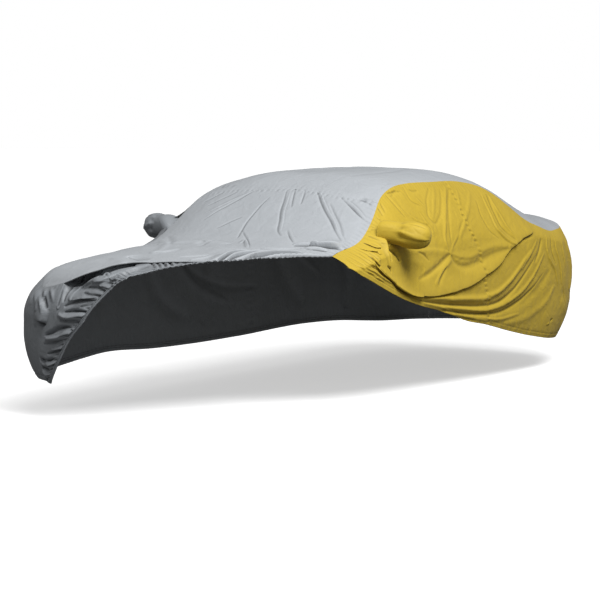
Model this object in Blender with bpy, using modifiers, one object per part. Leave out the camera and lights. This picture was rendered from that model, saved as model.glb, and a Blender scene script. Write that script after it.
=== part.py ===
"""Fitted cloth cover, cut and sewn from eight panels and two mirror pockets.

It hangs in the shape that it has when drawn over a long, low, stepped form, with its near front
corner pulled up, so that the elastic hem runs slantwise over the bonnet and down the near side.

Frame: metres, +X to the nose, +Y to the near side, +Z up. The tables give x from the mount, and
heights above the ground. The mount, under the middle of the roof, is the origin of the model.
"""
import bpy
import bmesh
import numpy as np
from mathutils import Vector

# ---------------------------------------------------------------- driving sizes
CLOTH = 0.0018            # thickness of the cloth
HEM = 0.0030              # thickness of the turned hem with its elastic
SEAM_GAP = 0.0004         # each panel stops this far short of the seam line
MOUNT_HEIGHT = 1.485      # underside of the roof cloth above the ground
INSIDE = Vector((0.1, 0, -0.9))     # a point inside the cover
LOW_START, LOW_DEPTH = 0.50, 0.28   # below this height the cloth draws in under the form
WAIST = 0.60              # height at which the sides stand fully out

ACROSS = 16               # cells across the top panels and the tail
SIDE_ROWS = 16            # cells down a near side panel
FAR_ROWS = 8              # cells down a far side panel and the tail
HEM_CELLS = 20            # cells along the hem over the bonnet
PILLAR_CELLS = 8          # cells from the hem's end to the header
DOOR_CELLS = 10           # cells from the header to the upright seam
REAR_CELLS = 18           # cells from the upright seam to the tail seam
NOSE_ACROSS, NOSE_ROWS = 14, 16

# Girth round the plan outline, from the middle of the nose, at which seams meet the top edge.
NOSE_CORNER = 0.42
HEM_END = 1.96
HEADER = 2.63
UPRIGHT_SEAM = 3.69
TAIL_SEAM = 5.87


def table(columns, rows):
    """Rows of numbers as a dictionary of named columns."""
    return dict(zip(columns.split(), np.array(rows, float).T))


# Lengthwise sections of the top. The height is on the centre line; at half_width the top has
# dropped by drop, and bow sweeps each section forward or back towards its edges.
TOP = table("x height half_width drop bow", [
    (-2.40, 0.940, 0.780, 0.060, -0.16),
    (-2.30, 1.030, 0.780, 0.065, -0.16),
    (-2.20, 1.090, 0.780, 0.080, -0.16),
    (-2.00, 1.124, 0.780, 0.095, -0.15),
    (-1.70, 1.165, 0.820, 0.130, -0.15),
    (-1.40, 1.265, 0.840, 0.170, -0.14),
    (-1.10, 1.385, 0.790, 0.195, -0.10),
    (-0.80, 1.452, 0.700, 0.125, -0.04),
    (-0.45, 1.480, 0.655, 0.095, 0.00),
    (0.00, 1.485, 0.650, 0.085, 0.00),
    (0.35, 1.472, 0.650, 0.080, 0.00),
    (0.60, 1.440, 0.660, 0.075, 0.00),
    (0.80, 1.365, 0.700, 0.066, 0.01),
    (1.05, 1.225, 0.750, 0.080, 0.04),
    (1.28, 1.095, 0.780, 0.082, 0.03),
    (1.45, 1.045, 0.780, 0.074, 0.02),
    (1.80, 1.010, 0.800, 0.070, 0.05),
    (2.20, 0.975, 0.800, 0.058, 0.18),
    (2.50, 0.940, 0.800, 0.045, 0.28),
    (2.66, 0.905, 0.800, 0.040, 0.30),
    (2.74, 0.862, 0.800, 0.035, 0.30),
    (2.79, 0.818, 0.800, 0.030, 0.30),
    (2.85, 0.762, 0.800, 0.030, 0.30),
])
CROWN = 3.6               # how square the crown of each section is

# Plan outline at the waist, from the middle of the nose back to the middle of the tail, with how
# far the cloth stands inside it at the ground, at the shoulder and at the top seam.
RING = table("x y low_in shoulder shoulder_in top_in", [
    (2.780, 0.000, 0.020, 0.72, 0.015, 0.060),    # nose, middle
    (2.770, 0.280, 0.020, 0.72, 0.015, 0.060),
    (2.742, 0.520, 0.030, 0.72, 0.015, 0.070),
    (2.685, 0.690, 0.070, 0.72, 0.025, 0.095),
    (2.580, 0.810, 0.085, 0.74, 0.035, 0.130),    # nose corner
    (2.420, 0.885, 0.070, 0.76, 0.040, 0.160),
    (2.100, 0.932, 0.030, 0.82, 0.040, 0.160),
    (1.700, 0.948, 0.030, 0.86, 0.035, 0.165),
    (1.380, 0.952, 0.030, 0.90, 0.030, 0.215),    # back of the bonnet
    (1.170, 0.953, 0.030, 0.94, 0.035, 0.193),
    (0.970, 0.954, 0.030, 0.97, 0.045, 0.219),    # screen pillar
    (0.750, 0.955, 0.030, 0.99, 0.050, 0.275),
    (0.500, 0.955, 0.030, 1.00, 0.055, 0.308),
    (0.050, 0.955, 0.030, 1.01, 0.055, 0.305),    # roof
    (-0.650, 0.955, 0.030, 1.01, 0.055, 0.293),
    (-1.050, 0.952, 0.030, 1.00, 0.045, 0.165),   # rear slope
    (-1.400, 0.945, 0.030, 0.95, 0.035, 0.102),
    (-1.700, 0.915, 0.060, 0.92, 0.030, 0.095),   # deck
    (-1.960, 0.835, 0.100, 0.91, 0.028, 0.085),
    (-2.130, 0.700, 0.080, 0.91, 0.025, 0.085),   # rear corner
    (-2.220, 0.500, 0.030, 0.92, 0.020, 0.085),
    (-2.255, 0.260, 0.020, 0.93, 0.020, 0.085),
    (-2.265, 0.000, 0.020, 0.93, 0.020, 0.085),   # tail, middle
])
GIRTH = np.concatenate([[0], np.cumsum(np.hypot(np.diff(RING["x"]), np.diff(RING["y"])))])
TAIL_MIDDLE = GIRTH[-1]

# The hem on the near side, by girth.
NEAR_HEM = table("girth height", [
    (1.93, 0.930), (2.01, 0.876), (2.15, 0.815), (2.36, 0.733), (2.56, 0.669), (2.77, 0.617),
    (3.02, 0.566), (3.21, 0.516), (3.40, 0.466), (3.69, 0.415), (3.91, 0.373), (4.15, 0.332),
    (4.53, 0.273), (4.92, 0.222), (5.25, 0.208), (5.55, 0.225), (5.90, 0.240),
])
FAR_HEM = table("girth height", [
    (0.52, 0.232), (0.90, 0.228), (1.40, 0.250), (1.90, 0.285), (2.40, 0.262), (3.40, 0.255),
    (4.40, 0.275), (4.90, 0.262), (5.40, 0.232), (5.90, 0.240),
])
TAIL_HEM_RISE = 0.015     # the tail hem lifts this much at its middle
TAIL_FOLD = 0.012
HEM_DRAW, HEM_REACH = 0.008, 0.03   # the elastic draws the hem in by this much, over this height

# The hem over the bonnet, from its front edge's end back to the near side.
BONNET_HEM = table("x y", [
    (2.304, 0.355), (2.206, 0.419), (2.134, 0.479), (2.025, 0.523), (1.876, 0.615),
    (1.691, 0.696), (1.516, 0.764),
])
# The bonnet's front edge, a lip that stands off the gathered nose panel.
LIP = table("x y", [
    (2.680, -0.400), (2.690, -0.330), (2.680, -0.250), (2.645, -0.170), (2.550, -0.110),
    (2.400, 0.020), (2.330, 0.200), (2.304, 0.355),
])
LIP_RISE = 0.012          # how far the lip stands up near the nose corner
LIP_REACH = 0.10          # how far back from the edge that rise fades out
HEADER_BOW = table("across forward", [
    (-1.00, 0.000), (-0.80, -0.012), (-0.30, 0.000), (0.15, -0.010), (0.36, 0.018), (0.74, 0.034),
    (1.00, 0.000),
])

# The nose panel: y across, and up along the cloth from the nose's top edge. Its top border hangs
# under the lip, set back behind the cloth's own surface.
NOSE_TOP = table("y up back", [
    (-0.420, 0.000, 0.000), (-0.390, -0.025, 0.012), (-0.340, -0.038, 0.030),
    (-0.270, -0.030, 0.026), (-0.200, 0.010, 0.016), (-0.150, 0.085, 0.010),
    (-0.090, 0.190, 0.008), (0.020, 0.330, 0.008), (0.200, 0.395, 0.008), (0.355, 0.400, 0.006),
])
NOSE_HEM = table("y up", [
    (-0.495, -0.590), (-0.399, -0.470), (-0.299, -0.344), (-0.204, -0.255), (-0.140, -0.180),
    (-0.060, -0.100), (0.020, -0.030), (0.130, 0.030), (0.202, 0.095), (0.247, 0.170),
    (0.307, 0.270), (0.355, 0.385),
])
CORNER_SEAM = table("y height", [
    (-0.420, 0.800), (-0.450, 0.700), (-0.490, 0.600), (-0.545, 0.500), (-0.585, 0.400),
    (-0.580, 0.300), (-0.545, 0.232),
])

# Main folds, each a soft ridge (or, with a negative rise, a trough) along a bent line.
SIDE_FOLDS = table("p0 z0 p1 z1 p2 z2 width rise", [
    (2.38, 1.02, 2.45, 0.70, 3.09, 0.72, 0.040, 0.018),    # swag from the pocket, upper ridge
    (2.84, 0.71, 3.45, 0.68, 4.45, 0.97, 0.050, 0.020),
    (2.40, 0.94, 2.50, 0.64, 3.10, 0.65, 0.030, -0.020),   # trough under it
    (2.90, 0.65, 3.50, 0.60, 4.40, 0.88, 0.035, -0.016),
    (2.60, 0.68, 3.30, 0.54, 4.30, 0.78, 0.032, 0.018),    # second swag
    (2.80, 0.60, 3.50, 0.50, 4.30, 0.68, 0.026, -0.016),
    (2.95, 0.55, 3.60, 0.47, 4.30, 0.56, 0.030, 0.014),    # third swag
    (4.80, 0.84, 4.50, 0.66, 3.76, 0.49, 0.050, 0.016),    # rear sweep
    (4.70, 0.70, 4.40, 0.50, 3.95, 0.42, 0.045, -0.012),
    (4.95, 0.62, 4.80, 0.42, 4.50, 0.32, 0.050, 0.012),
    (4.84, 0.95, 5.05, 0.76, 5.19, 0.45, 0.055, 0.016),    # round the rear corner
    (5.14, 0.98, 5.32, 0.78, 5.42, 0.60, 0.050, 0.014),
    (5.15, 0.66, 5.36, 0.70, 5.55, 0.62, 0.070, 0.026),
    (3.59, 1.36, 3.42, 1.15, 3.26, 0.97, 0.040, 0.010),    # down from the roof edge
    (4.05, 1.24, 4.12, 1.10, 4.27, 0.98, 0.045, 0.012),
    (2.46, 0.98, 2.34, 0.93, 2.41, 0.84, 0.035, 0.018),    # crumple under the pocket
    (2.10, 0.95, 2.24, 0.92, 2.40, 0.84, 0.030, 0.012),
])
FAR_FOLDS = table("p0 z0 p1 z1 p2 z2 width rise", [
    (0.55, 0.76, 0.62, 0.64, 0.58, 0.52, 0.050, 0.010),
    (0.95, 0.80, 1.10, 0.60, 1.00, 0.35, 0.070, 0.012),
    (1.60, 0.82, 1.80, 0.60, 1.70, 0.38, 0.080, -0.012),
    (2.35, 0.92, 2.55, 0.65, 2.90, 0.42, 0.070, 0.014),
    (3.10, 0.95, 3.20, 0.65, 3.05, 0.38, 0.080, 0.012),
    (4.00, 0.98, 4.10, 0.70, 4.45, 0.42, 0.080, 0.014),
    (4.95, 0.85, 5.15, 0.60, 5.05, 0.35, 0.070, 0.014),
])
TOP_FOLDS = table("x0 y0 x1 y1 x2 y2 width rise", [
    (0.84, 0.25, 1.02, 0.40, 1.26, 0.69, 0.040, -0.010),   # down the screen
    (0.88, 0.44, 0.97, 0.57, 1.06, 0.70, 0.035, -0.010),
    (0.86, 0.03, 1.10, 0.10, 1.45, 0.36, 0.035, -0.007),
    (0.84, -0.35, 1.00, -0.56, 1.22, -0.70, 0.040, -0.008),
    (1.50, 0.34, 1.38, 0.55, 1.33, 0.72, 0.035, -0.018),   # back of the bonnet
    (2.17, 0.38, 1.90, 0.36, 1.52, 0.62, 0.040, 0.014),    # along the hem
    (1.66, -0.45, 1.55, -0.25, 1.62, 0.05, 0.060, 0.010),
    (-1.15, -0.50, -1.30, 0.00, -1.15, 0.50, 0.100, -0.012),
])
NOSE_FOLDS = table("y0 u0 y1 u1 y2 u2 width rise", [
    (-0.36, -0.02, -0.10, 0.06, 0.10, 0.06, 0.040, 0.024),
    (-0.33, -0.08, -0.15, -0.05, -0.02, -0.06, 0.028, -0.020),
    (-0.40, -0.13, -0.22, -0.06, -0.08, -0.12, 0.030, 0.022),
    (-0.42, -0.18, -0.30, -0.19, -0.16, -0.17, 0.024, -0.018),
    (-0.47, -0.23, -0.34, -0.22, -0.20, -0.22, 0.028, 0.020),
    (-0.54, -0.32, -0.40, -0.28, -0.26, -0.27, 0.026, -0.018),
    (-0.56, -0.36, -0.44, -0.36, -0.32, -0.31, 0.028, 0.018),
    (-0.57, -0.45, -0.48, -0.44, -0.38, -0.39, 0.026, -0.014),
    (-0.57, -0.50, -0.52, -0.50, -0.44, -0.46, 0.026, 0.014),
])

# Mirror pockets: an oval bag on an oval hole in the side panel.
# Each pocket runs from the middle of its root to its tip.
NEAR_POCKET = ((0.980, 0.850, 1.103), (0.900, 1.125, 1.070))
FAR_POCKET = ((0.985, -0.845, 1.100), (0.905, -1.045, 1.088))
POCKET_HOLE = (0.082, 0.074)            # half width and half height of the hole
POCKET_WALL_GAP = 0.0026                # inside of the bag's wall to the hole's edge
POCKET = table("ring along wide high", [
    (0, -0.26, 1.00, 1.00), (1, 0.02, 1.00, 1.00), (2, 0.30, 1.00, 1.00), (3, 0.44, 1.06, 1.12),
    (4, 0.61, 1.08, 1.18), (5, 0.78, 0.98, 1.08), (6, 0.91, 0.74, 0.84), (7, 0.98, 0.40, 0.46),
    (8, 1.00, 0.00, 0.00),
])
POCKET_SIDES = 20
HOLE_DEPTH = 0.11                       # the hole's cutter reaches this far either way

GREY_TOP = ("grey_top_cloth", (0.47, 0.49, 0.51, 1))
GREY_SIDE = ("grey_side_cloth", (0.17, 0.19, 0.20, 1))
YELLOW = ("yellow_side_cloth", (0.58, 0.42, 0.07, 1))


# ---------------------------------------------------------------- curves and sections
def flow(at, knots, values):
    """A smooth curve through the values at rising knots."""
    at = np.clip(at, knots[0], knots[-1])
    step = np.diff(knots)
    rise = np.diff(values) / step
    slope = np.concatenate([
        rise[:1], (rise[:-1] * step[1:] + rise[1:] * step[:-1]) / (step[1:] + step[:-1]), rise[-1:]])
    i = np.clip(np.searchsorted(knots, at, side="right") - 1, 0, len(knots) - 2)
    h = step[i]
    t = (at - knots[i]) / h
    start = (1 + 2 * t) * (1 - t)**2 * values[i] + t * (1 - t)**2 * h * slope[i]
    return start + t * t * (3 - 2 * t) * values[i + 1] + t * t * (t - 1) * h * slope[i + 1]


def along(rows, first, second, count):
    """The curve through a two-column table, as count + 1 points even in its length."""
    a, b = rows[first], rows[second]
    knots = np.concatenate([[0], np.cumsum(np.hypot(np.diff(a), np.diff(b)))])
    at = np.linspace(0, knots[-1], count + 1)
    return np.stack([flow(at, knots, a), flow(at, knots, b)], -1)


def top_height(x, y):
    """Height of the smooth top over a place in plan."""
    out = np.abs(y) / flow(x, TOP["x"], TOP["half_width"])
    swept = x + flow(x, TOP["x"], TOP["bow"]) * np.minimum(out, 1.3)**2
    return flow(swept, TOP["x"], TOP["height"]) - flow(x, TOP["x"], TOP["drop"]) * out**CROWN


def ring(girth, column):
    """A column of the plan outline's table at a girth, the same on both sides."""
    return flow(np.abs(girth), GIRTH, RING[column])


def outline(girth):
    """The plan outline at a girth, near side positive, with its outward direction."""
    side = np.where(girth < 0, -1.0, 1.0)
    step = 0.001
    ahead, behind = np.abs(girth) + step, np.maximum(np.abs(girth) - step, 0)
    dx, dy = ring(ahead, "x") - ring(behind, "x"), ring(ahead, "y") - ring(behind, "y")
    size = np.hypot(dx, dy)
    return ring(girth, "x"), ring(girth, "y") * side, dy / size, -dx / size * side


def edge(girth):
    """The seam line where the sides meet the top."""
    x, y, out_x, out_y = outline(girth)
    inward = ring(girth, "top_in")
    x, y = x - out_x * inward, y - out_y * inward
    return np.stack([x, y, top_height(x, y)], -1)


def side(girth, height, stand_off=0.0):
    """A point of the sides, nose or tail, pushed out by stand_off."""
    x, y, out_x, out_y = outline(girth)
    top = edge(girth)[..., 2]
    shoulder, shoulder_in = ring(girth, "shoulder"), ring(girth, "shoulder_in")
    under = np.clip((LOW_START - height) / LOW_DEPTH, 0, 1.2)
    below = np.clip((height - WAIST) / (shoulder - WAIST), 0, 1)
    above = np.clip((height - shoulder) / (top - shoulder), 0, 1.3)
    lean = 2 * shoulder_in / (shoulder - WAIST) * (top - shoulder)
    inward = ring(girth, "low_in") * under**2 + shoulder_in * below**2
    inward += lean * above + (ring(girth, "top_in") - shoulder_in - lean) * above**1.6
    inward = inward - stand_off
    return np.stack([x - out_x * inward, y - out_y * inward, height + 0 * x], -1)


def nose_point(y, up, stand_off=0.0):
    """A point of the nose cloth: up is along the cloth from the nose's top edge, y across."""
    brow = edge(y)
    x = brow[..., 0] - np.maximum(up, 0)
    over = np.stack([x, y, top_height(x, y) + stand_off], -1)
    face = side(y, brow[..., 2] + np.minimum(up, 0), stand_off)
    return np.where(up[..., None] > 0, over, face)


def folds(rows, a, b):
    """Sum of the soft ridges and troughs of a fold table at places a, b."""
    total = np.zeros(np.broadcast(a, b).shape)
    t = np.linspace(0, 1, 17)
    for a0, b0, a1, b1, a2, b2, width, rise in zip(*rows.values()):
        line_a = (1 - t)**2 * a0 + 2 * t * (1 - t) * a1 + t * t * a2
        line_b = (1 - t)**2 * b0 + 2 * t * (1 - t) * b1 + t * t * b2
        away = (a[..., None] - line_a)**2 + (b[..., None] - line_b)**2
        nearest = away.argmin(-1)
        fade = np.sin(np.pi * np.clip(t[nearest], 0.06, 0.94))**0.7
        total += rise * fade * np.exp(-away.min(-1) / width**2)
    return total


# ---------------------------------------------------------------- laying out the panels
def soft_step(t):
    """From 0 to 1 as t does, level at both ends."""
    t = np.clip(t, 0, 1)
    return t * t * (3 - 2 * t)


def patch(front, back, far, near):
    """Points between four border lines: front and back run far to near, far and near run back."""
    u = np.linspace(0, 1, len(far))[:, None, None]
    v = np.linspace(0, 1, len(front))[None, :, None]
    between = (1 - v) * far[:, None] + v * near[:, None] + (1 - u) * front[None] + u * back[None]
    corners = (1 - u) * ((1 - v) * front[0] + v * front[-1]) + u * ((1 - v) * back[0] + v * back[-1])
    return between - corners


def header_line():
    """The seam across the screen header, in plan, far to near."""
    end = edge(np.array(HEADER))
    share = np.linspace(-1, 1, ACROSS + 1)
    forward = flow(share, HEADER_BOW["across"], HEADER_BOW["forward"])
    return np.stack([end[0] + forward, end[1] * share], -1)


def lip_line(count):
    """The bonnet's front edge in plan, from the nose corner to the hem."""
    line = along(LIP, "x", "y", count)
    start = edge(np.array(-NOSE_CORNER))[:2]
    fade = np.clip(1 - np.arange(count + 1) / 3, 0, 1)[:, None]
    return line + fade * (start - line[0])


def seam_girths(*stops):
    """Girths along a top seam, from pairs of a stop and the cells up to the next one."""
    runs = [np.linspace(a, b, cells + 1)[:-1] for (a, cells), (b, _) in zip(stops, stops[1:])]
    return np.concatenate(runs + [[stops[-1][0]]])


def tail_girths():
    """Girths across the tail, far to near: the far side's are negative."""
    share = np.linspace(-1, 1, ACROSS + 1)
    girth = TAIL_MIDDLE - np.abs(share) * (TAIL_MIDDLE - TAIL_SEAM)
    return np.where(share < 0, -girth, girth)


def bonnet_points():
    """Rows from the lip back to the header, columns from the far side to the near side."""
    far = edge(-seam_girths((NOSE_CORNER, HEM_CELLS + PILLAR_CELLS), (HEADER, 0)))[:, :2]
    seam = edge(seam_girths((HEM_END, PILLAR_CELLS), (HEADER, 0)))[:, :2]
    hem = along(BONNET_HEM, "x", "y", HEM_CELLS)
    fade = np.clip(np.arange(-HEM_CELLS, 1) / 4 + 1, 0, 1)[:, None]
    hem = hem + fade * (seam[0] - hem[-1])
    front = lip_line(ACROSS)
    plan = patch(front, header_line(), far, np.concatenate([hem, seam[1:]]))
    x, y = plan[..., 0], plan[..., 1]
    u = np.linspace(0, 1, len(far))[:, None]
    v = np.linspace(0, 1, ACROSS + 1)[None, :]
    free_hem = soft_step((HEM_CELLS / (HEM_CELLS + PILLAR_CELLS) - u) / 0.08 + 1)
    fade = soft_step(v / 0.12) * np.maximum(soft_step((1 - v) / 0.12), free_hem)
    from_lip = np.linalg.norm(plan - plan[:1], axis=-1)
    opened = LIP_RISE * np.sin(np.pi * np.clip(v / 0.6, 0, 1))**0.7 * np.exp(-(from_lip / LIP_REACH)**2)
    z = top_height(x, y) + folds(TOP_FOLDS, x, y) * fade + opened
    return np.stack([x, y, z], -1)


def roof_points():
    """Rows from the header back to the tail, columns from the far side to the near side."""
    girths = seam_girths((HEADER, DOOR_CELLS), (UPRIGHT_SEAM, REAR_CELLS), (TAIL_SEAM, 0))
    plan = patch(header_line(), edge(tail_girths())[:, :2], edge(-girths)[:, :2], edge(girths)[:, :2])
    x, y = plan[..., 0], plan[..., 1]
    v = np.linspace(0, 1, ACROSS + 1)[None, :]
    fade = soft_step(v / 0.12) * soft_step((1 - v) / 0.12)
    return np.stack([x, y, top_height(x, y) + folds(TOP_FOLDS, x, y) * fade], -1)


def corner_seam_girth(height):
    """Girth of the seam between the nose and the far side, at a height."""
    return -flow(-height, -CORNER_SEAM["height"], CORNER_SEAM["y"])


def side_points(girths, rows, hem, sign, fold_table, front_shift, end_fade):
    """A side panel: girths along its top seam, rows down to its hem."""
    t = np.linspace(0, 1, rows + 1)[:, None]
    top = edge(sign * girths)[:, 2]
    foot = flow(girths, hem["girth"], hem["height"])
    height = top + (foot - top) * t
    girth = girths + front_shift(girths, height, t)
    relief = folds(fold_table, girth, height) * soft_step(t / 0.15) * end_fade(girths)
    relief -= HEM_DRAW * np.exp(-((height - foot) / HEM_REACH)**2) * soft_step(t / 0.3)
    return side(sign * girth, height, relief)


def near_front_points():
    girths = seam_girths((HEM_END, PILLAR_CELLS), (HEADER, DOOR_CELLS), (UPRIGHT_SEAM, 0))
    return side_points(
        girths, SIDE_ROWS, NEAR_HEM, 1, SIDE_FOLDS,
        lambda girth, height, t: -0.03 * t * np.clip(1 - (girth - HEM_END) / 0.3, 0, 1),
        lambda girth: soft_step((girth - HEM_END) / 0.1 + 0.2))


def near_rear_points():
    girths = seam_girths((UPRIGHT_SEAM, REAR_CELLS), (TAIL_SEAM, 0))
    points = side_points(
        girths, SIDE_ROWS, NEAR_HEM, 1, SIDE_FOLDS, lambda girth, height, t: 0 * height,
        lambda girth: soft_step((TAIL_SEAM - girth) / 0.25))
    return straightened(points, -1)


def far_front_points():
    girths = seam_girths((NOSE_CORNER, HEM_CELLS + PILLAR_CELLS), (HEADER, DOOR_CELLS), (UPRIGHT_SEAM, 0))
    return side_points(
        girths, FAR_ROWS, FAR_HEM, -1, FAR_FOLDS,
        lambda girth, height, t: (corner_seam_girth(height) - NOSE_CORNER)
        * np.clip(1 - (girth - NOSE_CORNER) / 0.8, 0, 1)**2,
        lambda girth: soft_step((girth - NOSE_CORNER) / 0.1))


def far_rear_points():
    girths = seam_girths((UPRIGHT_SEAM, REAR_CELLS), (TAIL_SEAM, 0))
    return side_points(
        girths, FAR_ROWS, FAR_HEM, -1, FAR_FOLDS, lambda girth, height, t: 0 * height,
        lambda girth: soft_step((TAIL_SEAM - girth) / 0.25))


def tail_points():
    """Rows from the top seam down, columns from the far side to the near side."""
    girths = tail_girths()
    t = np.linspace(0, 1, FAR_ROWS + 1)[:, None]
    share = np.linspace(0, 1, ACROSS + 1)
    ends = [flow(np.array(TAIL_SEAM), hem["girth"], hem["height"]) for hem in (FAR_HEM, NEAR_HEM)]
    foot = ends[0] * (1 - share) + ends[1] * share + TAIL_HEM_RISE * np.sin(np.pi * share)
    top = edge(girths)[:, 2]
    height = top + (foot - top) * t
    relief = TAIL_FOLD * np.sin(np.pi * share)**2 * np.cos(5 * np.pi * share) * soft_step(t / 0.4)
    relief = relief - HEM_DRAW * np.exp(-((height - foot) / HEM_REACH)**2) * soft_step(t / 0.3)
    return side(girths + 0 * height, height, relief)


def straightened(points, column):
    """Every other point of an end column laid on the straight line between its neighbours."""
    points[1::2, column] = (points[0:-1:2, column] + points[2::2, column]) / 2
    return points


def nose_points():
    """Rows from under the lip down, columns from the far side's seam to the hem."""
    top = along(NOSE_TOP, "y", "up", NOSE_ACROSS)
    back = flow(top[:, 0], NOSE_TOP["y"], NOSE_TOP["back"])
    corner = edge(np.array(-NOSE_CORNER))[2]
    foot = flow(np.array(NOSE_CORNER), FAR_HEM["girth"], FAR_HEM["height"])
    seam_height = corner + (foot - corner) * np.linspace(0, 1, NOSE_ROWS + 1)
    seam_y = -corner_seam_girth(seam_height)
    seam = np.stack([seam_y, seam_height - edge(seam_y)[:, 2]], -1)
    hem = along(NOSE_HEM, "y", "up", NOSE_ROWS)[::-1]
    fade = np.clip(1 - np.arange(NOSE_ROWS + 1) / 4, 0, 1)[:, None]
    hem = hem + fade * (top[-1] - hem[0])
    share = np.linspace(0, 1, NOSE_ACROSS + 1)[:, None]
    cloth = patch(top, seam[-1] + (hem[-1] - seam[-1]) * share, seam, hem)
    y, up = cloth[..., 0], cloth[..., 1]
    s, t = share.T, np.linspace(0, 1, NOSE_ROWS + 1)[:, None]
    relief = folds(NOSE_FOLDS, y, up) * soft_step(s / 0.2) * soft_step(t / 0.15)
    return straightened(nose_point(y, up, relief - back * (1 - soft_step(t / 0.12))), 0)


# ---------------------------------------------------------------- making the solids
def finish_of(name, colour):
    """The cloth of this name, made once."""
    found = bpy.data.materials.get(name)
    if found:
        return found
    made = bpy.data.materials.new(name)
    made.use_nodes = True
    shader = made.node_tree.nodes["Principled BSDF"]
    shader.inputs["Base Color"].default_value = colour
    shader.inputs["Roughness"].default_value = 0.62
    shader.inputs["Metallic"].default_value = 0.0
    return made


def drawn_in(points):
    """The same sheet with its borders moved inwards by the seam gap."""
    points = points.copy()
    for axis in (0, 1):
        rows = np.moveaxis(points, axis, 0)
        for border, inner in ((0, 1), (-1, -2)):
            way = rows[inner] - rows[border]
            rows[border] += SEAM_GAP * way / np.linalg.norm(way, axis=-1, keepdims=True)
    return points


def face_outwards(bm):
    """Turn the sheet's faces so that they look away from the middle of the cover."""
    bm.normal_update()
    if sum((face.calc_center_median() - INSIDE).dot(face.normal) for face in bm.faces) < 0:
        bmesh.ops.reverse_faces(bm, faces=bm.faces)


def add_object(name, bm, cloth, collection):
    mesh = bpy.data.meshes.new(name)
    bm.to_mesh(mesh)
    bm.free()
    mesh.shade_smooth()
    obj = bpy.data.objects.new(name, mesh)
    collection.objects.link(obj)
    if cloth:
        mesh.materials.append(finish_of(*cloth))
    return obj


def thicken(obj, hem_points):
    """Give the sheet its thickness, and the turned hem its own."""
    if hem_points:
        share = obj.vertex_groups.new(name="thickness")
        share.add(range(len(obj.data.vertices)), CLOTH / HEM, "REPLACE")
        share.add(hem_points, 1.0, "REPLACE")
    solid = obj.modifiers.new("thickness", "SOLIDIFY")
    solid.thickness = HEM if hem_points else CLOTH
    solid.offset = 1
    if hem_points:
        solid.vertex_group = "thickness"


def panel(name, points, cloth, hem_at, collection):
    """A cut panel from its grid of points; hem_at(row, column) says which of them are hem."""
    points = drawn_in(points)
    points[..., 2] -= MOUNT_HEIGHT
    rows, columns = points.shape[0] - 1, points.shape[1] - 1
    bm = bmesh.new()
    bmesh.ops.create_grid(bm, x_segments=rows, y_segments=columns, size=1)
    hem = []
    for number, vertex in enumerate(bm.verts):
        row = round((vertex.co.x + 1) / 2 * rows)
        column = round((vertex.co.y + 1) / 2 * columns)
        vertex.co = points[row, column]
        if hem_at(row, column):
            hem.append(number)
    face_outwards(bm)
    obj = add_object(name, bm, cloth, collection)
    thicken(obj, hem)
    return obj


def pocket_axes(root, tip):
    """The root, the way to the tip, and the directions of the width and the height."""
    root, tip = np.array(root), np.array(tip)
    axis = (tip - root) / np.linalg.norm(tip - root)
    wide = np.cross((0, 0, 1), axis)
    wide /= np.linalg.norm(wide)
    return root - (0, 0, MOUNT_HEIGHT), tip - root, wide, np.cross(axis, wide)


def mirror_pocket(name, ends, cloth, collection):
    """An oval bag, open at its root, from a ball whose rings are spread along the bag."""
    root, reach, wide, high = pocket_axes(*ends)
    rings = len(POCKET["ring"])
    bm = bmesh.new()
    bmesh.ops.create_uvsphere(bm, u_segments=POCKET_SIDES, v_segments=rings, radius=1)
    foot = [vertex for vertex in bm.verts if vertex.co.z < -0.9999]
    bmesh.ops.delete(bm, geom=foot, context="VERTS")
    for vertex in bm.verts:
        around = np.arctan2(vertex.co.y, vertex.co.x)
        ring_number = (np.arcsin(np.clip(vertex.co.z, -1, 1)) / np.pi + 0.5) * rings - 1
        far, half_wide, half_high = (
            flow(np.array(ring_number), POCKET["ring"], POCKET[key]) for key in ("along", "wide", "high"))
        half_wide *= POCKET_HOLE[0] - POCKET_WALL_GAP
        half_high *= POCKET_HOLE[1] - POCKET_WALL_GAP
        vertex.co = (root + reach * far + wide * half_wide * np.cos(around)
                     + high * half_high * np.sin(around))
    obj = add_object(name, bm, cloth, collection)
    thicken(obj, [])
    return obj


def cut_pocket_hole(side_panel, ends, cutters):
    """Cut the oval through which the pocket opens into the cover."""
    root, reach, wide, high = pocket_axes(*ends)
    axis = reach / np.linalg.norm(reach)
    bm = bmesh.new()
    bmesh.ops.create_cone(
        bm, cap_ends=True, segments=POCKET_SIDES, radius1=1, radius2=1, depth=2 * HOLE_DEPTH)
    for vertex in bm.verts:
        x, y, z = vertex.co
        vertex.co = root + axis * z + wide * POCKET_HOLE[0] * x + high * POCKET_HOLE[1] * y
    cutter = add_object(side_panel.name + "_hole", bm, None, cutters)
    cutter.hide_render = True
    cutter.display_type = "WIRE"
    hole = side_panel.modifiers.new("pocket hole", "BOOLEAN")
    hole.operation = "DIFFERENCE"
    hole.object = cutter


def at_foot(rows):
    return lambda row, column: row == rows


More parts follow.
